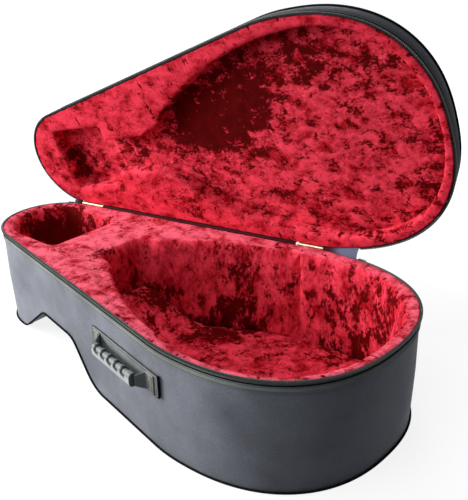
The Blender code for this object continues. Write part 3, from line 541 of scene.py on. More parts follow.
def pocket_plan():
    centre = Vector((POCKET_HEAD_X + POCKET_HALF, 0))
    tip = [centre + POCKET_HALF * Vector((math.cos(a), math.sin(a))) for a in span(TAU / 4, 0.75 * TAU, 40)]
    inset = Vector((POCKET_END_X - POCKET_CORNER, POCKET_CORNER - POCKET_HALF))
    low = [inset + POCKET_CORNER * Vector((math.cos(a), math.sin(a))) for a in span(-TAU / 4, 0, 6)]
    return tip + low + [Vector((p.x, -p.y)) for p in low[::-1]]


def grow(loop, distance):
    """A closed counterclockwise outline moved outwards."""
    moved = []
    for before, here, after in zip(loop[-1:] + loop[:-1], loop, loop[1:] + loop[:1]):
        a = (here - before).normalized()
        b = (after - here).normalized()
        side_a, side_b = Vector((a.y, -a.x)), Vector((b.y, -b.x))
        middle = (side_a + side_b).normalized()
        moved.append(here + middle * distance / max(middle.dot(side_b), 0.4))
    return moved


def prism(levels, name="tool"):
    """A solid through outlines of equal count, each with its height."""
    count = len(levels[0][1])
    points = [(p[0], p[1], z) for z, loop in levels for p in loop]
    faces = []
    for row in range(len(levels) - 1):
        for k in range(count):
            m = (k + 1) % count
            faces.append((row * count + k, row * count + m, (row + 1) * count + m, (row + 1) * count + k))
    faces.append(tuple(range(count))[::-1])
    faces.append(tuple(range(len(points) - count, len(points))))
    uvs = [points[v][:2] for face in faces for v in face]
    return solid(name, points, faces, uvs)


def flared(loop, bottom, top, lip):
    """A tool that widens in a quarter round at its mouth, which is at top, above or below bottom."""
    up = 1 if top > bottom else -1
    levels = [(bottom, loop)]
    for angle in span(0, math.pi / 2, 6):
        levels.append((top - up * lip * (1 - math.sin(angle)), grow(loop, lip * (1 - math.cos(angle)))))
    levels.append((top + up * CUT_PAST, levels[-1][1]))
    return prism(levels[::up])


def outline(distance):
    return [place + normal * distance for place, normal, s in along_rim(0, ROUND, 0.006)[:-1]]


def below(height):
    """A tool that holds all the room less than a height over the underside."""
    path = [(x, z + height) for x, z in zip(under_x, under_z)]
    path = [(path[0][0], -0.05)] + path + [(path[-1][0], -0.05)]
    points = [(x, y, z) for y in (-0.4, 0.4) for x, z in path]
    count = len(path)
    faces = [(k, (k + 1) % count, count + (k + 1) % count, count + k) for k in range(count)]
    faces += [tuple(range(count))[::-1], tuple(range(count, 2 * count))]
    return solid("tool", points, faces)


def block(start, end, low, high):
    points = [(x, y, z) for x in (start, end) for y in (-0.4, 0.4) for z in (low, high)]
    faces = [(0, 1, 3, 2), (4, 6, 7, 5), (0, 4, 5, 1), (2, 3, 7, 6), (0, 2, 6, 4), (1, 5, 7, 3)]
    return solid("tool", points, faces)


def carved(name, body, steps, voxel):
    """Cuts a block of foam, each step an operation and its tool, and lays an even mesh over it."""
    for operation, tool in steps:
        cut = body.modifiers.new("cut", "BOOLEAN")
        cut.operation = operation
        cut.object = tool
        cut.solver = "EXACT"
    even = body.modifiers.new("even", "REMESH")
    even.mode = "VOXEL"
    even.voxel_size = voxel
    even.use_smooth_shade = True
    mesh = bpy.data.meshes.new_from_object(body.evaluated_get(bpy.context.evaluated_depsgraph_get()))
    mesh.name = name
    piece = bpy.data.objects.new(name, mesh)
    scene.collection.objects.link(piece)
    bpy.data.objects.remove(body)
    return piece


rim_tree = kdtree.KDTree(1200)
rim_marks = along_rim(0, ROUND, ROUND / 1200)[:-1]
for index, (place, normal, s) in enumerate(rim_marks):
    rim_tree.insert((place.x, place.y, 0), index)
rim_tree.balance()


def from_rim(co):
    """How far round the rim a point lies, and how far inside the outline."""
    spot, index, gap = rim_tree.find((co.x, co.y, 0))
    place, normal, s = rim_marks[index]
    inward = (place - Vector((co.x, co.y))).dot(normal)
    return s, inward


def smooth_step(low, high, value):
    t = min(1, max(0, (value - low) / (high - low)))
    return t * t * (3 - 2 * t)


PRESSURE = 4
FRAMES = 20


def swell(piece, held, limit):
    """Lets the cloth of a foam pad swell under pressure where nothing holds it, by no more than a limit."""
    before = [v.co.copy() for v in piece.data.vertices]
    group = piece.vertex_groups.new(name="held")
    group.add([v.index for v in piece.data.vertices if held(v.co)], 1.0, "REPLACE")
    cloth = piece.modifiers.new("stuffing", "CLOTH")
    cloth.settings.vertex_group_mass = group.name
    cloth.settings.use_pressure = True
    cloth.settings.uniform_pressure_force = PRESSURE
    cloth.settings.effector_weights.gravity = 0
    cloth.collision_settings.use_collision = False
    for number in range(1, FRAMES + 1):
        scene.frame_set(number)
    swollen = piece.evaluated_get(bpy.context.evaluated_depsgraph_get()).data
    after = [v.co.copy() for v in swollen.vertices]
    piece.modifiers.remove(cloth)
    piece.vertex_groups.remove(group)
    for vertex, start, end in zip(piece.data.vertices, before, after):
        move = end - start
        if move.length > limit:
            move *= limit / move.length
        vertex.co = start + move
    scene.frame_set(1)


def smoothed(piece, levels=1):
    step = piece.modifiers.new("smooth", "SUBSURF")
    step.levels = levels
    step.render_levels = levels
    old = piece.data
    piece.data = bpy.data.meshes.new_from_object(piece.evaluated_get(bpy.context.evaluated_depsgraph_get()))
    piece.modifiers.remove(step)
    piece.data.name = old.name
    bpy.data.meshes.remove(old)
    piece.data.shade_smooth()


CRUMPLE_SIZE, CRUMPLE_HEIGHT = 0.016, 0.0007
SPOT_WARP = 0.03  # how far the soft spots' outlines stray
MOUTH_GAP, MOUTH_SOFT = 0.0002, 0.0015  # the closed halves' linings press flat against each other, but don't cross


def crisped(piece, mouth):
    """Draws a pad's outer edge tight round the wall's edge, where the even mesh has rounded it."""
    for vertex in piece.data.vertices:
        place, normal, s = rim_marks[rim_tree.find((vertex.co.x, vertex.co.y, 0))[1]]
        inward = (place - vertex.co.to_2d()).dot(normal) - BRIM
        drop = abs(mouth - vertex.co.z)
        past = min(inward, drop)
        if 0 < past and max(inward, drop) < 0.0055:
            vertex.co += Vector((*normal, math.copysign(1, mouth - vertex.co.z))) * past * 0.75


def velveted(piece, mouth, spots=()):
    """Crumples a pad's face a little and stores what its velvet is drawn by: the place on the closed case, the
    length round the rim, the depth inside it, the ledge that faces the mouth, and the painted shade from a list of
    soft spots, each a centre, a radius and a strength; a negative strength paints light instead."""
    crisped(piece, mouth)
    mesh = piece.data
    side, at_mouth = math.copysign(1, mouth - RIM), abs(mouth - RIM) < 0.01
    normals = [v.normal.copy() for v in mesh.vertices]
    laid, ledge, dark, rim = [], [], [], []
    for vertex, normal in zip(mesh.vertices, normals):
        co = vertex.co
        laid += co[:]
        face = abs(normal.z) * smooth_step(0.006, 0.001, abs(co.z - mouth))
        ledge.append(face)
        strayed = co + noise.noise_vector(co / SPOT_WARP) * SPOT_WARP
        dark.append(sum(strength * smooth_step(1.15, 0.1, (strayed - Vector(spot)).length / radius)
                        for *spot, radius, strength in spots))
        rim.append(from_rim(co))
        waves = noise.noise(co / CRUMPLE_SIZE) + 0.5 * noise.noise(co / (0.4 * CRUMPLE_SIZE))
        vertex.co = co + normal * (waves - 0.4) * CRUMPLE_HEIGHT
        room = side * (vertex.co.z - RIM) - MOUTH_GAP
        if at_mouth and room < MOUTH_SOFT:
            vertex.co.z = RIM + side * (MOUTH_GAP + MOUTH_SOFT * math.exp(room / MOUTH_SOFT - 1))
    mesh.attributes.new("laid", "FLOAT_VECTOR", "POINT").data.foreach_set("vector", laid)
    mesh.attributes.new("ledge", "FLOAT", "POINT").data.foreach_set("value", ledge)
    mesh.attributes.new("dark", "FLOAT", "POINT").data.foreach_set("value", dark)
    layer = mesh.uv_layers.new(name="UVMap")
    uvs = []
    for face in mesh.polygons:
        marks = [rim[v] for v in face.vertices]
        longest = max(s for s, inward in marks)
        uvs += [(s + ROUND if longest - s > ROUND / 2 else s, inward) for s, inward in marks]
    layer.data.foreach_set("uv", np.array(uvs, np.float32).ravel())


# Crushed velvet: short rayon pile pressed in all directions, so that it is bright where the pile leans one way
# and nearly black in ragged specks where it leans the other, with fine creases where it is pulled over an edge
def crushed_velvet(name, stretch, density=1.0, ledge_highlight="#ff6e84"):
    made, tree = new_material(name)
    laid = add(tree, "ShaderNodeAttribute", attribute_name="laid")
    ledge = add(tree, "ShaderNodeAttribute", attribute_name="ledge")
    dark = add(tree, "ShaderNodeAttribute", attribute_name="dark")
    uv = add(tree, "ShaderNodeUVMap", uv_map="UVMap")
    stretched = add(tree, "ShaderNodeMapping", {"Vector": laid.outputs["Vector"], "Scale": stretch})
    noises = {}
    for label, size, detail, roughness, curl in (("drifts", 0.060, 3.0, 0.55, 0.0), ("specks", 0.0185, 8.0, 0.68, 0.30),
                                                 ("flecks", 0.0042, 4.0, 0.65, 0.0),
                                                 ("glints", 0.026, 7.0, 0.68, 0.4), ("pile", 0.0016, 2.0, 0.6, 0.0)):
        noises[label] = add(tree, "ShaderNodeTexNoise", {"Vector": stretched.outputs[0], "Scale": density / size,
                                                         "Detail": detail, "Roughness": roughness,
                                                         "Distortion": curl}).outputs["Fac"]
    across = add(tree, "ShaderNodeMapping", {"Vector": uv.outputs[0], "Scale": (90.0, 40.0, 1.0)})
    creases = add(tree, "ShaderNodeTexNoise", {"Vector": across.outputs[0], "Scale": 1.0, "Detail": 4.0,
                                               "Roughness": 0.6, "Distortion": 0.6})
    drifting = add(tree, "ShaderNodeMath", {0: noises["drifts"], 1: 0.3, 2: noises["specks"]},
                   operation="MULTIPLY_ADD")
    flecked = add(tree, "ShaderNodeMath", {0: noises["flecks"], 1: 0.45, 2: drifting.outputs[0]},
                  operation="MULTIPLY_ADD")
    # Ledges that face the mouth are pushed towards the bright pile: a painted highlight on the lit tops
    lie_with_ledge_highlight = add(tree, "ShaderNodeMath", {0: ledge.outputs["Fac"], 1: 0.07, 2: flecked.outputs[0]},
                 operation="MULTIPLY_ADD")
    # The soft spots push the pile towards dark: painted shade where shade falls in the case, and painted light where a
    # spot's strength is negative
    lie_with_painted_shade_and_light = add(tree, "ShaderNodeMath", {0: dark.outputs["Fac"], 1: -0.15, 2: lie_with_ledge_highlight.outputs[0]},
                  operation="MULTIPLY_ADD")
    fold = add(tree, "ShaderNodeMapRange", {0: creases.outputs["Fac"], 1: 0.33, 2: 0.38, 3: -0.34, 4: 0.0})
    lie = add(tree, "ShaderNodeMath", {0: fold.outputs[0], 1: ledge.outputs["Fac"], 2: lie_with_painted_shade_and_light.outputs[0]},
              operation="MULTIPLY_ADD").outputs[0]
    upright = add(tree, "ShaderNodeMapRange", {0: lie, 1: 0.745, 2: 0.855, 3: 0.0, 4: 1.0},
                  interpolation_type="SMOOTHSTEP")
    glinting = add(tree, "ShaderNodeMath", {0: lie, 1: 0.55, 2: noises["glints"]}, operation="MULTIPLY_ADD")
    shining = add(tree, "ShaderNodeMapRange", {0: glinting.outputs[0], 1: 0.86, 2: 1.12, 3: 0.0, 4: 1.0})
    down = add(tree, "ShaderNodeMix", {0: noises["glints"], 6: colour("#200001"), 7: colour("#7c0305")},
               data_type="RGBA")
    # On the ledges the bright pile is painted paler still: a painted highlight
    bright = add(tree, "ShaderNodeMix", {0: ledge.outputs["Fac"], 6: colour("#ff4a60"), 7: colour(ledge_highlight)},
                 data_type="RGBA")
    up = add(tree, "ShaderNodeMix", {0: shining.outputs[0], 6: colour("#a80b1b"), 7: bright.outputs[2]},
             data_type="RGBA")
    both = add(tree, "ShaderNodeMix", {0: upright.outputs[0], 6: down.outputs[2], 7: up.outputs[2]},
               data_type="RGBA")
    grain = add(tree, "ShaderNodeMapRange", {0: noises["pile"], 1: 0.3, 2: 0.7, 3: 0.88, 4: 1.12})
    piled = add(tree, "ShaderNodeMix", {0: 1.0, 6: both.outputs[2], 7: grain.outputs[0]}, data_type="RGBA",
                blend_type="MULTIPLY")
    bump = add(tree, "ShaderNodeBump", {"Height": lie, "Strength": 0.4, "Distance": 0.0015})
    shader = add(tree, "ShaderNodeBsdfPrincipled", {"Base Color": piled.outputs[2], "Roughness": 0.9,
                                                    "Specular IOR Level": 0.06, "Normal": bump.outputs[0],
                                                    "Sheen Weight": 0.03, "Sheen Roughness": 0.35,
                                                    "Sheen Tint": colour("#ff2030")})
    add(tree, "ShaderNodeOutputMaterial", {"Surface": shader.outputs[0]})
    return made


wall_velvet = crushed_velvet("crushed_velvet_on_walls", (1.0, 1.0, 0.6), density=0.9)


def leaning_wall(height):
    return outline(-WALL - FOAM_GAP - lean_at(height))


# Painted shade on the velvet in spots where shade falls, and one spot of painted light: place on the closed case,
# radius and strength, a negative strength painting light
LOWER_PAINTED_SHADE_AND_LIGHT = ((-0.585, 0.045, 0.14, 0.085, 1.8), (-0.405, -0.080, 0.188, 0.034, 0.8),
              (-0.368, -0.035, 0.188, 0.038, 0.9), (-0.345, 0.089, 0.188, 0.026, 1.2),
              (-0.295, 0.046, 0.072, 0.065, 1.2), (-0.191, 0.082, 0.017, 0.085, 0.8),
              (0.134, 0.156, 0.166, 0.060, 0.6), (0.099, 0.175, 0.090, 0.075, 0.6),
              (0.034, 0.187, 0.031, 0.070, 0.6), (-0.176, 0.135, 0.042, 0.075, 0.8),
              (-0.157, 0.144, 0.138, 0.038, 0.5), (-0.068, 0.176, 0.092, 0.042, 0.5),
              (0.020, 0.188, 0.116, 0.046, 0.5), (-0.285, 0.095, 0.13, 0.085, -0.9))
inner_wall, brim = leaning_wall(RIM), outline(-BRIM)
lining_low = RIM - LINING_WRAP + FOAM_GAP
FINE, COARSE = 0.004, 0.005

bowl_plan = body_plan(BOWL_HALF, BOWL_TAIL_X, THROAT_HALF)


def lower_foam(name, start, end, rooms):
    tools = [("INTERSECT", prism([(-CUT_PAST, leaning_wall(-CUT_PAST)), (LEAN_HEIGHT, inner_wall),
                                  (lining_low, inner_wall), (lining_low, brim), (RIM + CUT_PAST, brim)]))]
    tools += [("DIFFERENCE", room) for room in rooms]
    tools.append(("DIFFERENCE", below(BOARD + FOAM_GAP)))
    piece = carved(name, block(start, end, -0.005, LINING_TOP), tools, FINE)
    for operation, tool in tools:
        bpy.data.objects.remove(tool)
    return piece


def held_by_wall(co):
    """Whether a point of a lower pad is glued to the wall, the board or its neighbour."""
    s, inward = from_rim(co)
    return inward < WALL + 0.0025 + lean_at(co.z) or co.z < underside_at(co.x) + BOARD + 0.003


def lower_pad(name, start, end, rooms, node):
    piece = lower_foam(name, start, end, rooms)
    swell(piece, held_by_wall, 0.0022)
    smoothed(piece)
    velveted(piece, LINING_TOP, LOWER_PAINTED_SHADE_AND_LIGHT)
    piece.data.materials.clear()
    piece.data.materials.append(wall_velvet)
    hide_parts(node)
    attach(piece, "shell")


strip_plan = [p + (q - p) * smooth_step(0.0, -0.12, p.y) for p, q in zip(bowl_plan, grow(bowl_plan, STRIP_STEP))]
lower_pad("bowl_strip_lining", SHOULDER_X - SEAM_PRESS, 0.3, [flared(strip_plan, -0.02, LINING_TOP, LIP)],
          "bowl_side_padding")
lower_pad("neck_block_lining", POCKET_END_X - SEAM_PRESS, SHOULDER_X + SEAM_PRESS,
          [flared(bowl_plan, -0.02, LINING_TOP, LIP), flared(pocket_plan(), -0.02, LINING_TOP, LIP)],
          "neck_block_padding")
lower_pad("pegbox_lining", -0.7, POCKET_END_X + SEAM_PRESS, [flared(pocket_plan(), -0.02, LINING_TOP, LIP)], "pegbox_padding")

# Padded floors of the bowl and of the pegbox pocket
# Thin foam under the same velvet, cut to the hollow and laid on the boards. The bowl's one runs up the slope
# of the arch to the throat.
FLOOR_PAD = 0.012


def floor_lining(name, loop, node):
    tools = [("INTERSECT", below(BOARD + FLOOR_PAD)), ("DIFFERENCE", below(BOARD + FOAM_GAP))]
    edge = grow(loop, -FOAM_GAP)
    piece = carved(name, prism([(-CUT_PAST, edge), (RIM, edge)]), tools, FINE)
    for operation, tool in tools:
        bpy.data.objects.remove(tool)
    swell(piece, lambda co: co.z < underside_at(co.x) + BOARD + 0.004, 0.0025)
    smoothed(piece)
    velveted(piece, RIM + 1, LOWER_PAINTED_SHADE_AND_LIGHT)
    piece.data.materials.clear()
    piece.data.materials.append(floor_velvet)
    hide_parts(node)
    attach(piece, "shell")


floor_velvet = crushed_velvet("crushed_velvet_on_floors", (1.0, 1.0, 1.0), density=0.8)
floor_lining("bowl_floor_lining", bowl_plan, "bowl_floor_pad")
floor_lining("pocket_floor_lining", pocket_plan(), "pegbox_floor_pad")

# Foam lining of the lid
# A surround of foam with the recess for the instrument's face, the neck and the pegs, and a thick pad behind
# it, both under crushed velvet and glued into the lid.
RECESS_HALF, RECESS_TAIL_X, CHANNEL_HALF = 0.187, 0.211, 0.033
RECESS_DEPTH, LID_LIP, LID_PAD = 0.030, 0.005, 0.0124
PEG_START, PEG_END, PEG_HALF, PEG_EXTRA = -0.553, -0.434, 0.063, 0.004
lid_face = RIM + 0.0005
recess_floor = RIM + FOAM_GAP + RECESS_DEPTH


def oblong(start, end, half, corner_radius=0.004):
    loop = []
    for x, y, turn in ((end, half, 0), (start, half, TAU / 4), (start, -half, TAU / 2), (end, -half, 0.75 * TAU)):
        centre = Vector((x - math.copysign(corner_radius, x - (start + end) / 2), y - math.copysign(corner_radius, y)))
        loop += [centre + corner_radius * Vector((math.cos(a), math.sin(a))) for a in span(turn, turn + TAU / 4, 3)]
    return loop


peg_loop = oblong(PEG_START, PEG_END, PEG_HALF)
lid_rooms = [body_plan(RECESS_HALF, RECESS_TAIL_X, CHANNEL_HALF), peg_loop,
             oblong(PEG_END - CUT_PAST, THROAT_X + CUT_PAST, CHANNEL_HALF)]
lid_velvet = crushed_velvet("crushed_velvet_in_lid", (0.9, 1.15, 1.0), ledge_highlight="#f03c52")
lining_high = RIM + LINING_WRAP - FOAM_GAP
tools = [("DIFFERENCE", flared(loop, recess_floor + CUT_PAST, lid_face, LID_LIP)) for loop in lid_rooms]
surround = carved("lid_surround_lining", prism([(lid_face, brim), (lining_high, brim), (lining_high, inner_wall),
                                                (recess_floor, inner_wall)]), tools, FINE)
for operation, tool in tools:
    bpy.data.objects.remove(tool)
# Painted shade on the lid's velvet where shade falls: place on the closed case, radius and strength
LID_PAINTED_SHADE = ((-0.234, -0.046, 0.220, 0.095, 1.6), (-0.109, -0.099, 0.220, 0.085, 1.5),
            (0.006, -0.136, 0.220, 0.060, 0.9), (-0.145, -0.028, 0.220, 0.090, 1.0),
            (-0.548, -0.002, 0.223, 0.065, 0.9), (-0.385, 0.004, 0.220, 0.055, 0.5),
            (-0.300, 0.110, 0.190, 0.055, 0.7), (0.194, 0.036, 0.220, 0.055, 0.6),
            (0.169, 0.111, 0.220, 0.055, 0.6), (0.127, 0.162, 0.212, 0.050, 0.6),
            (0.054, -0.121, 0.220, 0.050, 0.6), (0.136, -0.094, 0.220, 0.050, 0.6))


def lid_pad(piece, held, node):
    swell(piece, held, 0.0022)
    smoothed(piece)
    velveted(piece, lid_face, LID_PAINTED_SHADE)
    piece.data.transform(open_lid)
    piece.data.materials.clear()
    piece.data.materials.append(lid_velvet)
    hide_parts(node)
    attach(piece, "lid")


lid_pad(surround, lambda co: from_rim(co)[1] < WALL + 0.0025 or co.z > recess_floor - 0.002,
        "lid_padding_surround")
peg_tool = prism([(recess_floor - CUT_PAST, peg_loop), (recess_floor + PEG_EXTRA, peg_loop)])
pad_levels = (recess_floor + FOAM_GAP, recess_floor + FOAM_GAP + LID_PAD)
back_pad = carved("lid_back_lining", prism([(z, leaning_wall(z)) for z in pad_levels]),
                  [("DIFFERENCE", peg_tool)], FINE)
bpy.data.objects.remove(peg_tool)
lid_pad(back_pad, lambda co: from_rim(co)[1] < WALL + 0.003 + lean_at(co.z) or co.z > recess_floor + 0.008,
        "lid_back_pad")

# Zip tapes and webbing
# On each half a woven zip tape is sewn flat against the wall just under the rim, with a dark rolled edge, and
# a webbing band is sewn under it. They run from the head round the front and the wide end to the zip's stop.
TAPE_REACH, TAPE, WEBBING_HEIGHT, WEBBING = 0.0085, 0.0010, 0.0115, 0.0012
BEAD = 0.0011
zip_marks = along_rim(0, S_STOP, 0.005)


def band_section(out, thickness, low, high, edge):
    r = edge
    return (corner(out + thickness - r, low + r, r, -90, 0, 2) + corner(out + thickness - r, high - r, r, 0, 90, 2)
            + [(out, high), (out, low)])


LOOKS = {}
# The lid's tape and webbing are the lower ones' cloths painted far darker: painted shade for the lid's shaded side
for half, tape_shade, webbing_shade in (("lower", "#666b67", "#848a85"), ("lid", "#232625", "#22252a")):
    LOOKS[half] = (nylon_cloth(f"woven_zip_tape_{half}", tape_shade, thread=0.0016, weave=0.5, roughness=0.7),
                   nylon_cloth(f"nylon_webbing_{half}", webbing_shade, thread=0.0022, weave=0.8, roughness=0.62))
for half, sign, body in (("lower", -1, "shell"), ("lid", 1, "lid")):
    low, high = sorted((RIM + sign * PIPING_GAP, RIM + sign * TAPE_REACH))
    section = band_section(PIPING_GAP, TAPE, low, high, 0.0004)
    tape = loft(f"{half}_tape", [lifted(p, n, section) for p, n, s in zip_marks])
    low, high = sorted((RIM + sign * (TAPE_REACH + 0.0012), RIM + sign * (TAPE_REACH + WEBBING_HEIGHT)))
    section = band_section(PIPING_GAP, WEBBING, low, high, 0.0005)
    webbing = loft(f"{half}_webbing", [lifted(p, n, section) for p, n, s in zip_marks])
    bead = loft(f"{half}_tape_edge", [lifted(p, n, round_section(PIPING_GAP + BEAD, RIM + sign * TAPE_REACH, BEAD, 8))
                                      for p, n, s in zip_marks])
    for piece, look, node, slot in ((tape, LOOKS[half][0], f"{half}_zip_tape", "trim"),
                                    (webbing, LOOKS[half][1], f"{half}_rim_webbing", "nylon"),
                                    (bead, black_braid, None, "trim")):
        if half == "lid":
            piece.data.transform(open_lid)
        piece.data.materials.append(look)
        if node:
            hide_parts(node)
        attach(piece, body)

# Zip teeth
# Moulded black teeth in a row along the rim edge of each tape, those of the lid a quarter pitch on so that they
# mesh with the lower ones.
TOOTH_PITCH = 0.0028
TOOTH = (0.0017, 0.0024, 0.0029)
black_teeth, tree = new_material("moulded_acetal_teeth")
spot = add(tree, "ShaderNodeTexCoord")
grain = add(tree, "ShaderNodeTexNoise", {"Vector": spot.outputs["Object"], "Scale": 700.0, "Detail": 2.0})
tone = add(tree, "ShaderNodeMapRange", {0: grain.outputs["Fac"], 1: 0.3, 2: 0.7, 3: 0.8, 4: 1.3})
inked = add(tree, "ShaderNodeMix", {0: 1.0, 6: colour("#1c1e20"), 7: tone.outputs[0]}, data_type="RGBA",
            blend_type="MULTIPLY")
shader = add(tree, "ShaderNodeBsdfPrincipled", {"Base Color": inked.outputs[2], "Roughness": 0.4})
add(tree, "ShaderNodeOutputMaterial", {"Surface": shader.outputs[0]})


def small_form(name, build):
    """A small shape, copied along a path by the tree below."""
    mesh = bpy.data.meshes.new(name)
    bm = bmesh.new()
    build(bm)
    bm.to_mesh(mesh)
    bm.free()
    made = bpy.data.objects.new(name, mesh)
    scene.collection.objects.link(made)
    return made


def repeat_tree():
    """Copies a form along a path at an even pitch, turned to the path, and gives the copies a material."""
    tree = bpy.data.node_groups.new("repeat_along_path", "GeometryNodeTree")
    for label, kind in (("Geometry", "NodeSocketGeometry"), ("Pitch", "NodeSocketFloat"),
                        ("Form", "NodeSocketObject"), ("Look", "NodeSocketMaterial")):
        tree.interface.new_socket(label, in_out="INPUT", socket_type=kind)
    tree.interface.new_socket("Geometry", in_out="OUTPUT", socket_type="NodeSocketGeometry")
    given = add(tree, "NodeGroupInput")
    spaced = add(tree, "GeometryNodeResampleCurve", {"Curve": given.outputs["Geometry"],
                                                     "Length": given.outputs["Pitch"]}, mode="LENGTH")
    tangent = add(tree, "GeometryNodeInputTangent")
    turned = add(tree, "FunctionNodeAlignRotationToVector", {"Vector": tangent.outputs[0]}, axis="X", pivot_axis="Z")
    form = add(tree, "GeometryNodeObjectInfo", {"Object": given.outputs["Form"]})
    placed = add(tree, "GeometryNodeInstanceOnPoints", {"Points": spaced.outputs[0],
                                                        "Instance": form.outputs["Geometry"],
                                                        "Rotation": turned.outputs[0]})
    real = add(tree, "GeometryNodeRealizeInstances", {0: placed.outputs[0]})
    looked = add(tree, "GeometryNodeSetMaterial", {"Geometry": real.outputs[0], "Material": given.outputs["Look"]})
    result = add(tree, "NodeGroupOutput")
    tree.links.new(looked.outputs[0], result.inputs[0])
    return tree


repeat = repeat_tree()
repeat_inputs = {item.name: item.identifier for item in repeat.interface.items_tree if item.in_out == "INPUT"}


def repeated(name, points, pitch, form, look):
    """The copies of a form along a line of points, as one plain mesh."""
    curve = bpy.data.curves.new(name, "CURVE")
    curve.dimensions = "3D"
    line = curve.splines.new("POLY")
    line.points.add(len(points) - 1)
    for point, place in zip(line.points, points):
        point.co = (*place, 1)
    guide = bpy.data.objects.new(f"{name}_guide", curve)
    scene.collection.objects.link(guide)
    step = guide.modifiers.new("repeat", "NODES")
    step.node_group = repeat
    step[repeat_inputs["Pitch"]] = pitch
    step[repeat_inputs["Form"]] = form
    step[repeat_inputs["Look"]] = look
    mesh = bpy.data.meshes.new_from_object(guide.evaluated_get(bpy.context.evaluated_depsgraph_get()))
    mesh.name = name
    bpy.data.objects.remove(guide)
    made = bpy.data.objects.new(name, mesh)
    scene.collection.objects.link(made)
    return made


def tooth_form(bm):
    bmesh.ops.create_cube(bm, size=1)
    for v in bm.verts:
        v.co = Vector((v.co.x * TOOTH[0], v.co.y * TOOTH[1], v.co.z * TOOTH[2]))
    bmesh.ops.bevel(bm, geom=bm.edges[:], offset=0.0004, segments=1, affect="EDGES")


tooth = small_form("tooth", tooth_form)
teeth_out = 2 * PIPING_GAP + TAPE + TOOTH[1] / 2
for half, sign, body in (("lower", -1, "shell"), ("lid", 1, "lid")):
    z = RIM + sign * (PIPING_GAP + TOOTH[2] / 2)
    shift = TOOTH_PITCH * (0.25 if half == "lid" else 0)
    marks = along_rim(shift, S_STOP - TOOTH_PITCH + shift, 0.004)
    line = [(*(p + n * teeth_out), z) for p, n, s in marks]
    teeth = repeated(f"{half}_teeth", line, TOOTH_PITCH, tooth, black_teeth)
    if half == "lid":
        teeth.data.transform(open_lid)
    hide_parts(f"{half}_zip_teeth")
    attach(teeth, body)

# Stitching of the webbing
# A row of dark thread along each edge of both webbing bands.
STITCH, STITCH_PITCH, THREAD_RADIUS = 0.0032, 0.0042, 0.00038


def stitch_form(bm):
    bmesh.ops.create_cone(bm, segments=6, radius1=THREAD_RADIUS, radius2=THREAD_RADIUS, depth=STITCH, cap_ends=True,
                          matrix=Matrix.Rotation(math.pi / 2, 4, "Y"))


stitch = small_form("stitch", stitch_form)
grey_thread, tree = new_material("polyester_thread")
shader = add(tree, "ShaderNodeBsdfPrincipled", {"Base Color": colour("#2c2f2f"), "Roughness": 0.6})
add(tree, "ShaderNodeOutputMaterial", {"Surface": shader.outputs[0]})
for half, sign, body in (("lower", -1, "shell"), ("lid", 1, "lid")):
    for row, reach in (("near", TAPE_REACH + 0.0030), ("far", TAPE_REACH + WEBBING_HEIGHT - 0.0020)):
        line = [(*(p + n * (PIPING_GAP + WEBBING + 0.0001)), RIM + sign * reach) for p, n, s in zip_marks]
        seam = repeated(f"{half}_webbing_{row}_stitches", line, STITCH_PITCH, stitch, grey_thread)
        if half == "lid":
            seam.data.transform(open_lid)
        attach(seam, body)

# Hinge cloth
# One strip of the trim cloth is glued to both walls along the back and bridges the gap inside the hinges. It
# is built as it lies with the lid open, fanned out, most of all near the wide end; the real strip folds when the
# lid is shut.
WEB = 0.0005
FAN_RADIUS = 0.00285
FLAT, BRIDGE = 4, 10
KNUCKLE_ROOM = 0.026  # the cloth is cut away this far to each side of a hinge's middle
OPENED_OUT = 0.009  # where the hinge line is this far from the wall, the cloth shows its own colour; nearer, in the fold, it is painted dark maroon: painted shade with a red cast of light bounced from the velvet
hinge_out = Vector((hinge_axis.y, -hinge_axis.x, 0))
if hinge_out.y < 0:
    hinge_out.negate()
pins = [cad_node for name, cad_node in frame["nodes"].items() if name.endswith("_pin")]
pin_spots = [sum((pin.matrix_world @ v.co for v in pin.data.vertices), Vector()) / len(pin.data.vertices) for pin in pins]


def turn_about_hinge(point, angle):
    return (Matrix.Translation(hinge_spot) @ Matrix.Rotation(angle, 4, hinge_axis)
            @ Matrix.Translation(-hinge_spot)) @ Vector(point)


def cut_sheet(name, inner, outer, lengths, kept):
    """A thin sheet between two grids of points, closed round its edge and round the openings left in it."""
    rows, columns = len(inner), len(inner[0])
    layer = rows * columns
    widths = np.cumsum([0] + [(b - a).length for a, b in zip(inner[0], inner[0][1:])])
    faces = []
    for i in range(rows - 1):
        for k in range(columns - 1):
            if not kept(i, k):
                continue
            quad = [i * columns + k, (i + 1) * columns + k, (i + 1) * columns + k + 1, i * columns + k + 1]
            faces += [tuple(quad), tuple(v + layer for v in quad[::-1])]
            for next_i, next_k, a, b in ((i, k - 1, 0, 1), (i + 1, k, 1, 2), (i, k + 1, 2, 3), (i - 1, k, 3, 0)):
                if not (0 <= next_i < rows - 1 and 0 <= next_k < columns - 1 and kept(next_i, next_k)):
                    faces.append((quad[b], quad[a], quad[a] + layer, quad[b] + layer))
    points = [p for grid in (inner, outer) for row in grid for p in row]
    uvs = [(lengths[v % layer // columns], widths[v % columns]) for face in faces for v in face]
    made = solid(name, points, faces, uvs)
    loose = bmesh.new()
    loose.from_mesh(made.data)
    bmesh.ops.delete(loose, geom=[v for v in loose.verts if not v.link_faces], context="VERTS")
    loose.to_mesh(made.data)
    loose.free()
    return made


def kept(i, k):
    spot = Vector((*back_marks[i][0], hinge_spot.z))
    beside = min(abs((spot - pin).dot(hinge_axis)) for pin in pin_spots)
    return beside > KNUCKLE_ROOM or not FLAT - 1 <= k < FLAT + BRIDGE + 1


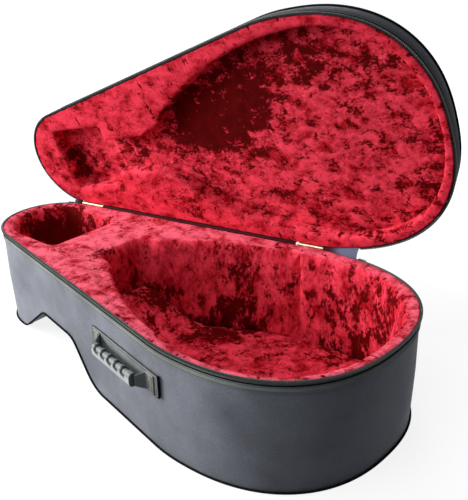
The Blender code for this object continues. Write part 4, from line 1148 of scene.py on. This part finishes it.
back_marks = along_rim(S_STOP, ROUND, 0.004)
grids, gaps = ([], []), []
for place, normal, s in back_marks:
    gap = (hinge_spot.to_2d() - place).dot(hinge_out.to_2d())
    gaps.append(gap)
    for grid, out in zip(grids, (PIPING_GAP + 0.0001, PIPING_GAP + 0.0001 + WEB)):
        flat = [(out, RIM - WEB_REACH + (WEB_REACH - 0.0035) * t) for t in (0, 0.34, 0.67, 1)]
        line = [Vector(p) for p in lifted(place, normal, flat)]
        mouth_out = out if gap > FAN_RADIUS + 0.0012 else out + gap - FAN_RADIUS - 0.0003
        edge = Vector((*(place + normal * min(out, mouth_out)), RIM - 0.0004))
        line += [turn_about_hinge(edge, LID_ANGLE * t) for t in span(0, 1, BRIDGE)]
        flat = [(out, RIM + 0.0035 + (WEB_REACH - 0.0035) * t) for t in (0, 0.33, 0.66, 1)]
        grid.append(line + [open_lid @ Vector(p) for p in lifted(place, normal, flat)])
hinge_cloth = cut_sheet("hinge_cloth", *grids, [s for place, normal, s in back_marks], kept)
# Painted shade in the fold along the hinge line, reddened like light bounced from the velvet
stained = []
for vertex in hinge_cloth.data.vertices:
    place, normal, s = rim_marks[rim_tree.find((vertex.co.x, vertex.co.y, 0))[1]]
    off_line = (vertex.co - hinge_spot).cross(hinge_axis).length
    gap = (hinge_spot.to_2d() - place).dot(hinge_out.to_2d())
    stained.append(smooth_step(0.009, 0.005, off_line) * smooth_step(OPENED_OUT, 0.004, gap))
hinge_cloth.data.attributes.new("stained", "FLOAT", "POINT").data.foreach_set("value", stained)
hinge_cloth.data.materials.append(nylon_cloth("hinge_cloth", "#626a82", thread=0.0014, weave=0.5, roughness=0.7,
                                              fold_shade="#3c0a16"))
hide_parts("lower_hinge_web", "lid_hinge_web")
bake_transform(hinge_cloth)

# Hinges, pins and rivets
# Butt hinges of pressed brass with their pins, held by nickel rivets through cloth and wall.


def metal(name, shade, roughness):
    made, tree = new_material(name)
    spot = add(tree, "ShaderNodeTexCoord")
    brushed = add(tree, "ShaderNodeMapping", {"Vector": spot.outputs["Object"], "Scale": (120.0, 120.0, 1600.0)})
    grain = add(tree, "ShaderNodeTexNoise", {"Vector": brushed.outputs[0], "Scale": 1.0, "Detail": 3.0})
    tarnish = add(tree, "ShaderNodeTexNoise", {"Vector": spot.outputs["Object"], "Scale": 300.0, "Detail": 2.0})
    rough = add(tree, "ShaderNodeMapRange", {0: grain.outputs["Fac"], 1: 0.3, 2: 0.7, 3: roughness - 0.08,
                                             4: roughness + 0.12})
    tone = add(tree, "ShaderNodeMapRange", {0: tarnish.outputs["Fac"], 1: 0.3, 2: 0.7, 3: 0.85, 4: 1.1})
    toned = add(tree, "ShaderNodeMix", {0: 1.0, 6: colour(shade), 7: tone.outputs[0]}, data_type="RGBA",
                blend_type="MULTIPLY")
    bump = add(tree, "ShaderNodeBump", {"Height": grain.outputs["Fac"], "Strength": 0.15, "Distance": 0.0002})
    shader = add(tree, "ShaderNodeBsdfPrincipled", {"Base Color": toned.outputs[2], "Metallic": 1.0,
                                                    "Roughness": rough.outputs[0], "Normal": bump.outputs[0]})
    add(tree, "ShaderNodeOutputMaterial", {"Surface": shader.outputs[0]})
    return made


pressed_brass = metal("pressed_brass", "#ecdcb8", 0.34)
nickel_plate = metal("nickel_plated_steel", "#b9b6ae", 0.3)
for name, node in frame["nodes"].items():
    if "_leaf" in name or name.endswith("_pin"):
        node.data.materials.clear()
        node.data.materials.append(pressed_brass)
    elif "_rivet_" in name or name.startswith("zip_"):
        node.data.materials.clear()
        node.data.materials.append(nickel_plate)

# Handle patch
# A long patch of doubled nylon, bound round its edge with black braided cord and sewn to the front wall. A black
# bar at its end toward the wide end is painted shadow, for the shade along that end. The straps of the handle are
# sewn to it.
swing = next(j for j in frame["joints"] if j["name"] == "handle_swing")
PATCH_LENGTH, PATCH_HEIGHT, PATCH, PATCH_ROUND = 0.196, 0.037, 0.0030, 0.005
AXIS_REACH = 0.0044  # from the patch to the axis on which the handle swings
EDGE_CORD, END_SHADOW_BAR = 0.0006, 0.0016
outward = Vector((-math.sin(SLOPE), -math.cos(SLOPE), 0))
flank_way = Vector((math.cos(SLOPE), -math.sin(SLOPE), 0))
handle_spot = Vector(swing["pos_m"]) - outward * (PIPING_GAP + PATCH + AXIS_REACH)
on_flank = (Matrix.Translation(handle_spot)
            @ Matrix((flank_way, Vector((0, 0, 1)), outward)).transposed().to_4x4())
patch_face = PIPING_GAP + PATCH
patch_loop = oblong(-PATCH_LENGTH / 2, PATCH_LENGTH / 2, PATCH_HEIGHT / 2, PATCH_ROUND)
patch = prism([(0.0001, patch_loop), (patch_face - 0.0009, patch_loop), (patch_face - 0.0003, grow(patch_loop, -0.0006)),
               (patch_face, grow(patch_loop, -0.002)), (patch_face + 0.0003, grow(patch_loop, -0.0045))], "patch_cover")
patch.data.transform(on_flank)
patch_nylon = nylon_cloth("doubled_nylon_of_patch", "#7b7e7e", thread=0.0018, weave=0.7, roughness=0.6)
patch.data.materials.append(patch_nylon)
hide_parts("handle_patch")
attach(patch, "shell")


def edging(name, loop, height, radius, sides=8):
    """A round edge along a closed outline."""
    turns = [TAU * k / sides for k in range(sides)]
    loops = [grow(loop, radius * math.cos(a)) for a in turns]
    return loft(name, [[(ring[i].x, ring[i].y, height + radius * math.sin(a)) for ring, a in zip(loops, turns)]
                       for i in range(len(loop))], closed=True)


def slab(name, loop, low, high, look):
    """A flat piece on the flank with softened upper edges."""
    made = prism([(low, loop), (high - 0.0007, loop), (high - 0.0002, grow(loop, -0.0005)), (high, grow(loop, -0.0012))],
                 name)
    made.data.transform(on_flank)
    made.data.materials.append(look)
    return made


patch_edge = edging("patch_edge_cord", patch_loop, patch_face - EDGE_CORD, EDGE_CORD)
patch_edge.data.transform(on_flank)
patch_edge.data.materials.append(black_braid)
# A black bar along the patch's end toward the wide end: painted shadow where that end's edge stands in shade
end_loop = oblong(PATCH_LENGTH / 2 - END_SHADOW_BAR, PATCH_LENGTH / 2 + 0.0005, PATCH_HEIGHT / 2 + 0.0004, 0.0010)
end_shadow_bar = slab("patch_end_tape", end_loop, 0.0001, patch_face + 0.0002, black_braid)
for piece in (patch_edge, end_shadow_bar):
    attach(piece, "shell")

# Handle straps
# Two flat straps of dark webbing that widen to the patch and run into the ends of the grip. Each is caught at
# the patch under a tab of doubled nylon, sewn on with a boxed cross.
ROOT_X, TAB_LENGTH, TAB_WIDTH, TAB = 0.070, 0.019, 0.031, 0.0020
STRAP_WIDTH, STRAP = 0.017, 0.0028
GRIP_LENGTH, GRIP_WIDTH, GRIP_THICKNESS, GRIP_REACH = 0.120, 0.022, 0.013, 0.0175
grip_out = patch_face + GRIP_REACH
strap_webbing = nylon_cloth("strap_webbing", "#686d6e", thread=0.0030, weave=1.0, roughness=0.65)
tab_nylon = nylon_cloth("nylon_of_tabs", "#8d9088", thread=0.0018, weave=0.7, roughness=0.6)
sewn = ROOT_X + PIPING_GAP
STRAP_RUN = [(sewn + 0.005, patch_face + 0.0010, TAB_WIDTH - 0.004), (sewn + 0.002, patch_face + 0.0012, TAB_WIDTH - 0.002),
             (sewn, patch_face + 0.0018, TAB_WIDTH - 0.002), (sewn - 0.003, patch_face + 0.0052, 0.86 * TAB_WIDTH),
             (sewn - 0.006, patch_face + 0.0100, 0.76 * TAB_WIDTH), (sewn - 0.009, grip_out - 0.0034, STRAP_WIDTH + 0.003),
             (sewn - 0.013, grip_out - 0.0008, STRAP_WIDTH), (sewn - 0.020, grip_out, STRAP_WIDTH)]


def strap(name, side):
    rings = []
    for k, (x, out, width) in enumerate(STRAP_RUN):
        before, after = STRAP_RUN[max(0, k - 1)], STRAP_RUN[min(len(STRAP_RUN) - 1, k + 1)]
        way = Vector((after[0] - before[0], after[1] - before[1])).normalized()
        ring = []
        for a in span(0, TAU, 24)[:-1]:
            flat = math.copysign(abs(math.cos(a)) ** 0.3, math.cos(a)) * width / 2
            thick = math.copysign(abs(math.sin(a)) ** 0.5, math.sin(a)) * STRAP / 2
            ring.append((side * (x - way.y * thick), flat, out + way.x * thick))
        rings.append(ring)
    made = loft(name, rings)
    made.data.transform(on_flank)
    made.data.materials.append(strap_webbing)
    return made


for side, end in ((-1, "head"), (1, "tail")):
    made = strap(f"handle_{end}_strap", side)
    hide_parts("handle_strap")
    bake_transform(made)
    tab_loop = oblong(*sorted((side * sewn, side * (sewn + TAB_LENGTH))), TAB_WIDTH / 2, 0.0015)
    tab = slab(f"{end}_tab_cover", tab_loop, patch_face + 0.0002, patch_face + 0.0030, tab_nylon)
    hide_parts(f"handle_{end}_tab")
    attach(tab, "shell")

# Grip
# A bar moulded in soft PVC round the straps: light grey, with five grooves for the fingers in its back. Its upper
# side and back are painted a darker grey, painted shade; each groove's three sides and the face against the patch
# are painted black, painted shade and shadow. A black collar closes each end.
FINGERS, GROOVE_PITCH, GROOVE_LENGTH, GROOVE_DEPTH = 5, 0.0200, 0.0135, 0.0016
COLLAR, GRIP_END, GRIP_SQUARENESS = 0.0035, 0.004, 2.8
GROOVE_LOW, GROOVE_BACK = 0.0022, -0.0052
grip_rings, grip_marks = [], []


def groove(x, up, out):
    """Where a point of the grip lies in a finger groove, from 0 to 1, and how much its groove's side is painted black,
    as painted shade.
    """
    index = round(x / GROOVE_PITCH)
    if abs(index) > FINGERS // 2:
        return 0, 0
    along = x - index * GROOVE_PITCH
    start, end = -GROOVE_LENGTH / 2, GROOVE_LENGTH / 2
    inside = min(smooth_step(start, start + 0.0014, along), smooth_step(end, end - 0.005, along),
                 smooth_step(GROOVE_LOW, GROOVE_LOW + 0.0014, up), smooth_step(GROOVE_BACK, GROOVE_BACK + 0.0014, out))
    step = smooth_step(0.0036, 0.0024, abs(along - start)) if up > GROOVE_LOW - 0.002 else 0
    lower = smooth_step(0.0030, 0.0018, abs(up - GROOVE_LOW)) if out > 0 and start < along < end - 0.002 else 0
    upper = smooth_step(0.0034, 0.0022, abs(out - GROOVE_BACK)) if up > 0 and start < along < end - 0.002 else 0
    return inside, max(step, lower, upper)


for x in span(-GRIP_LENGTH / 2, GRIP_LENGTH / 2, 120):
    toward_end = max(0, (abs(x) - GRIP_LENGTH / 2 + GRIP_END) / GRIP_END)
    squeeze = 0.72 + 0.28 * math.sqrt(max(0, 1 - toward_end**2))
    ring, marks = [], []
    for a in span(0, TAU, 56)[:-1]:
        c, s = math.cos(a), math.sin(a)
        up = math.copysign(abs(c) ** (2 / GRIP_SQUARENESS), c) * GRIP_WIDTH / 2
        out = math.copysign(abs(s) ** (2 / GRIP_SQUARENESS), s) * GRIP_THICKNESS / 2
        inside, step = groove(x, up, out)
        scale = squeeze * (1 - inside * GROOVE_DEPTH / math.hypot(up, out))
        ring.append((x, up * scale, grip_out + out * scale))
        # Painted shade: the upper side and the side toward the patch darker grey, the face against the patch black as
        # painted shadow; the collars are black
        back = smooth_step(-0.001, 0.003, up - 0.5 * out)
        marks.append((back, max(step, smooth_step(-0.0035, -0.0055, out)) if abs(x) < GRIP_LENGTH / 2 - COLLAR else 1))
    grip_rings.append(ring)
    grip_marks += marks
grip = loft("handle_grip_cover", grip_rings, sharp=60)
marked = kdtree.KDTree(len(grip_marks))
for index, point in enumerate(p for ring in grip_rings for p in ring):
    marked.insert(point, index)
marked.balance()
found = [grip_marks[marked.find(v.co)[1]] for v in grip.data.vertices]
for k, label in enumerate(("back", "step")):
    layer = grip.data.attributes.new(label, "FLOAT", "POINT")
    layer.data.foreach_set("value", [marks[k] for marks in found])
grip.data.transform(on_flank)

# Moulded soft PVC: satin, finely pitted, light grey, with darker grey and black painted where shade falls, and black
# collars
moulded_grip, tree = new_material("moulded_pvc_grip")
spot = add(tree, "ShaderNodeTexCoord")
grain = add(tree, "ShaderNodeTexNoise", {"Vector": spot.outputs["Object"], "Scale": 900.0, "Detail": 2.0})
wear = add(tree, "ShaderNodeTexNoise", {"Vector": spot.outputs["Object"], "Scale": 120.0, "Detail": 4.0})
back = add(tree, "ShaderNodeAttribute", attribute_name="back")
step = add(tree, "ShaderNodeAttribute", attribute_name="step")
greys = add(tree, "ShaderNodeMix", {0: back.outputs["Fac"], 6: colour("#adb1b1"), 7: colour("#757d7a")},
            data_type="RGBA")
inked = add(tree, "ShaderNodeMix", {0: step.outputs["Fac"], 6: greys.outputs[2], 7: colour("#0d0f10")},
            data_type="RGBA")
worn = add(tree, "ShaderNodeMapRange", {0: wear.outputs["Fac"], 1: 0.3, 2: 0.7, 3: 0.88, 4: 1.1})
toned = add(tree, "ShaderNodeMix", {0: 1.0, 6: inked.outputs[2], 7: worn.outputs[0]}, data_type="RGBA",
            blend_type="MULTIPLY")
bump = add(tree, "ShaderNodeBump", {"Height": grain.outputs["Fac"], "Strength": 0.3, "Distance": 0.0003})
shader = add(tree, "ShaderNodeBsdfPrincipled", {"Base Color": toned.outputs[2], "Roughness": 0.5,
                                                "Specular IOR Level": 0.3, "Normal": bump.outputs[0]})
add(tree, "ShaderNodeOutputMaterial", {"Surface": shader.outputs[0]})
grip.data.materials.append(moulded_grip)
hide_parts("handle_grip")
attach(grip, "handle")

# Handle stitching
# Black thread runs round the patch inside its edge tape, and a boxed cross holds each strap.
PATCH_SEAM, BOX_INSET = 0.0042, 0.003
patch_line = [(p.x, p.y, patch_face + 0.0003) for p in grow(patch_loop, -PATCH_SEAM)]
seams = [("patch_stitches", patch_line + patch_line[:1])]
for side, end in ((-1, "head"), (1, "tail")):
    near, far = sewn + BOX_INSET, sewn + TAB_LENGTH - BOX_INSET
    half = TAB_WIDTH / 2 - BOX_INSET
    corners = [(near, -half), (far, -half), (far, half), (near, half), (near, -half), (far, half), (far, -half),
               (near, half)]
    seams.append((f"{end}_strap_stitches", [(side * x, y, patch_face + 0.0031) for x, y in corners]))
for name, line in seams:
    seam = repeated(name, line, STITCH_PITCH, stitch, grey_thread)
    seam.data.transform(on_flank)
    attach(seam, "shell")

for form in (tooth, stitch):
    bpy.data.objects.remove(form)
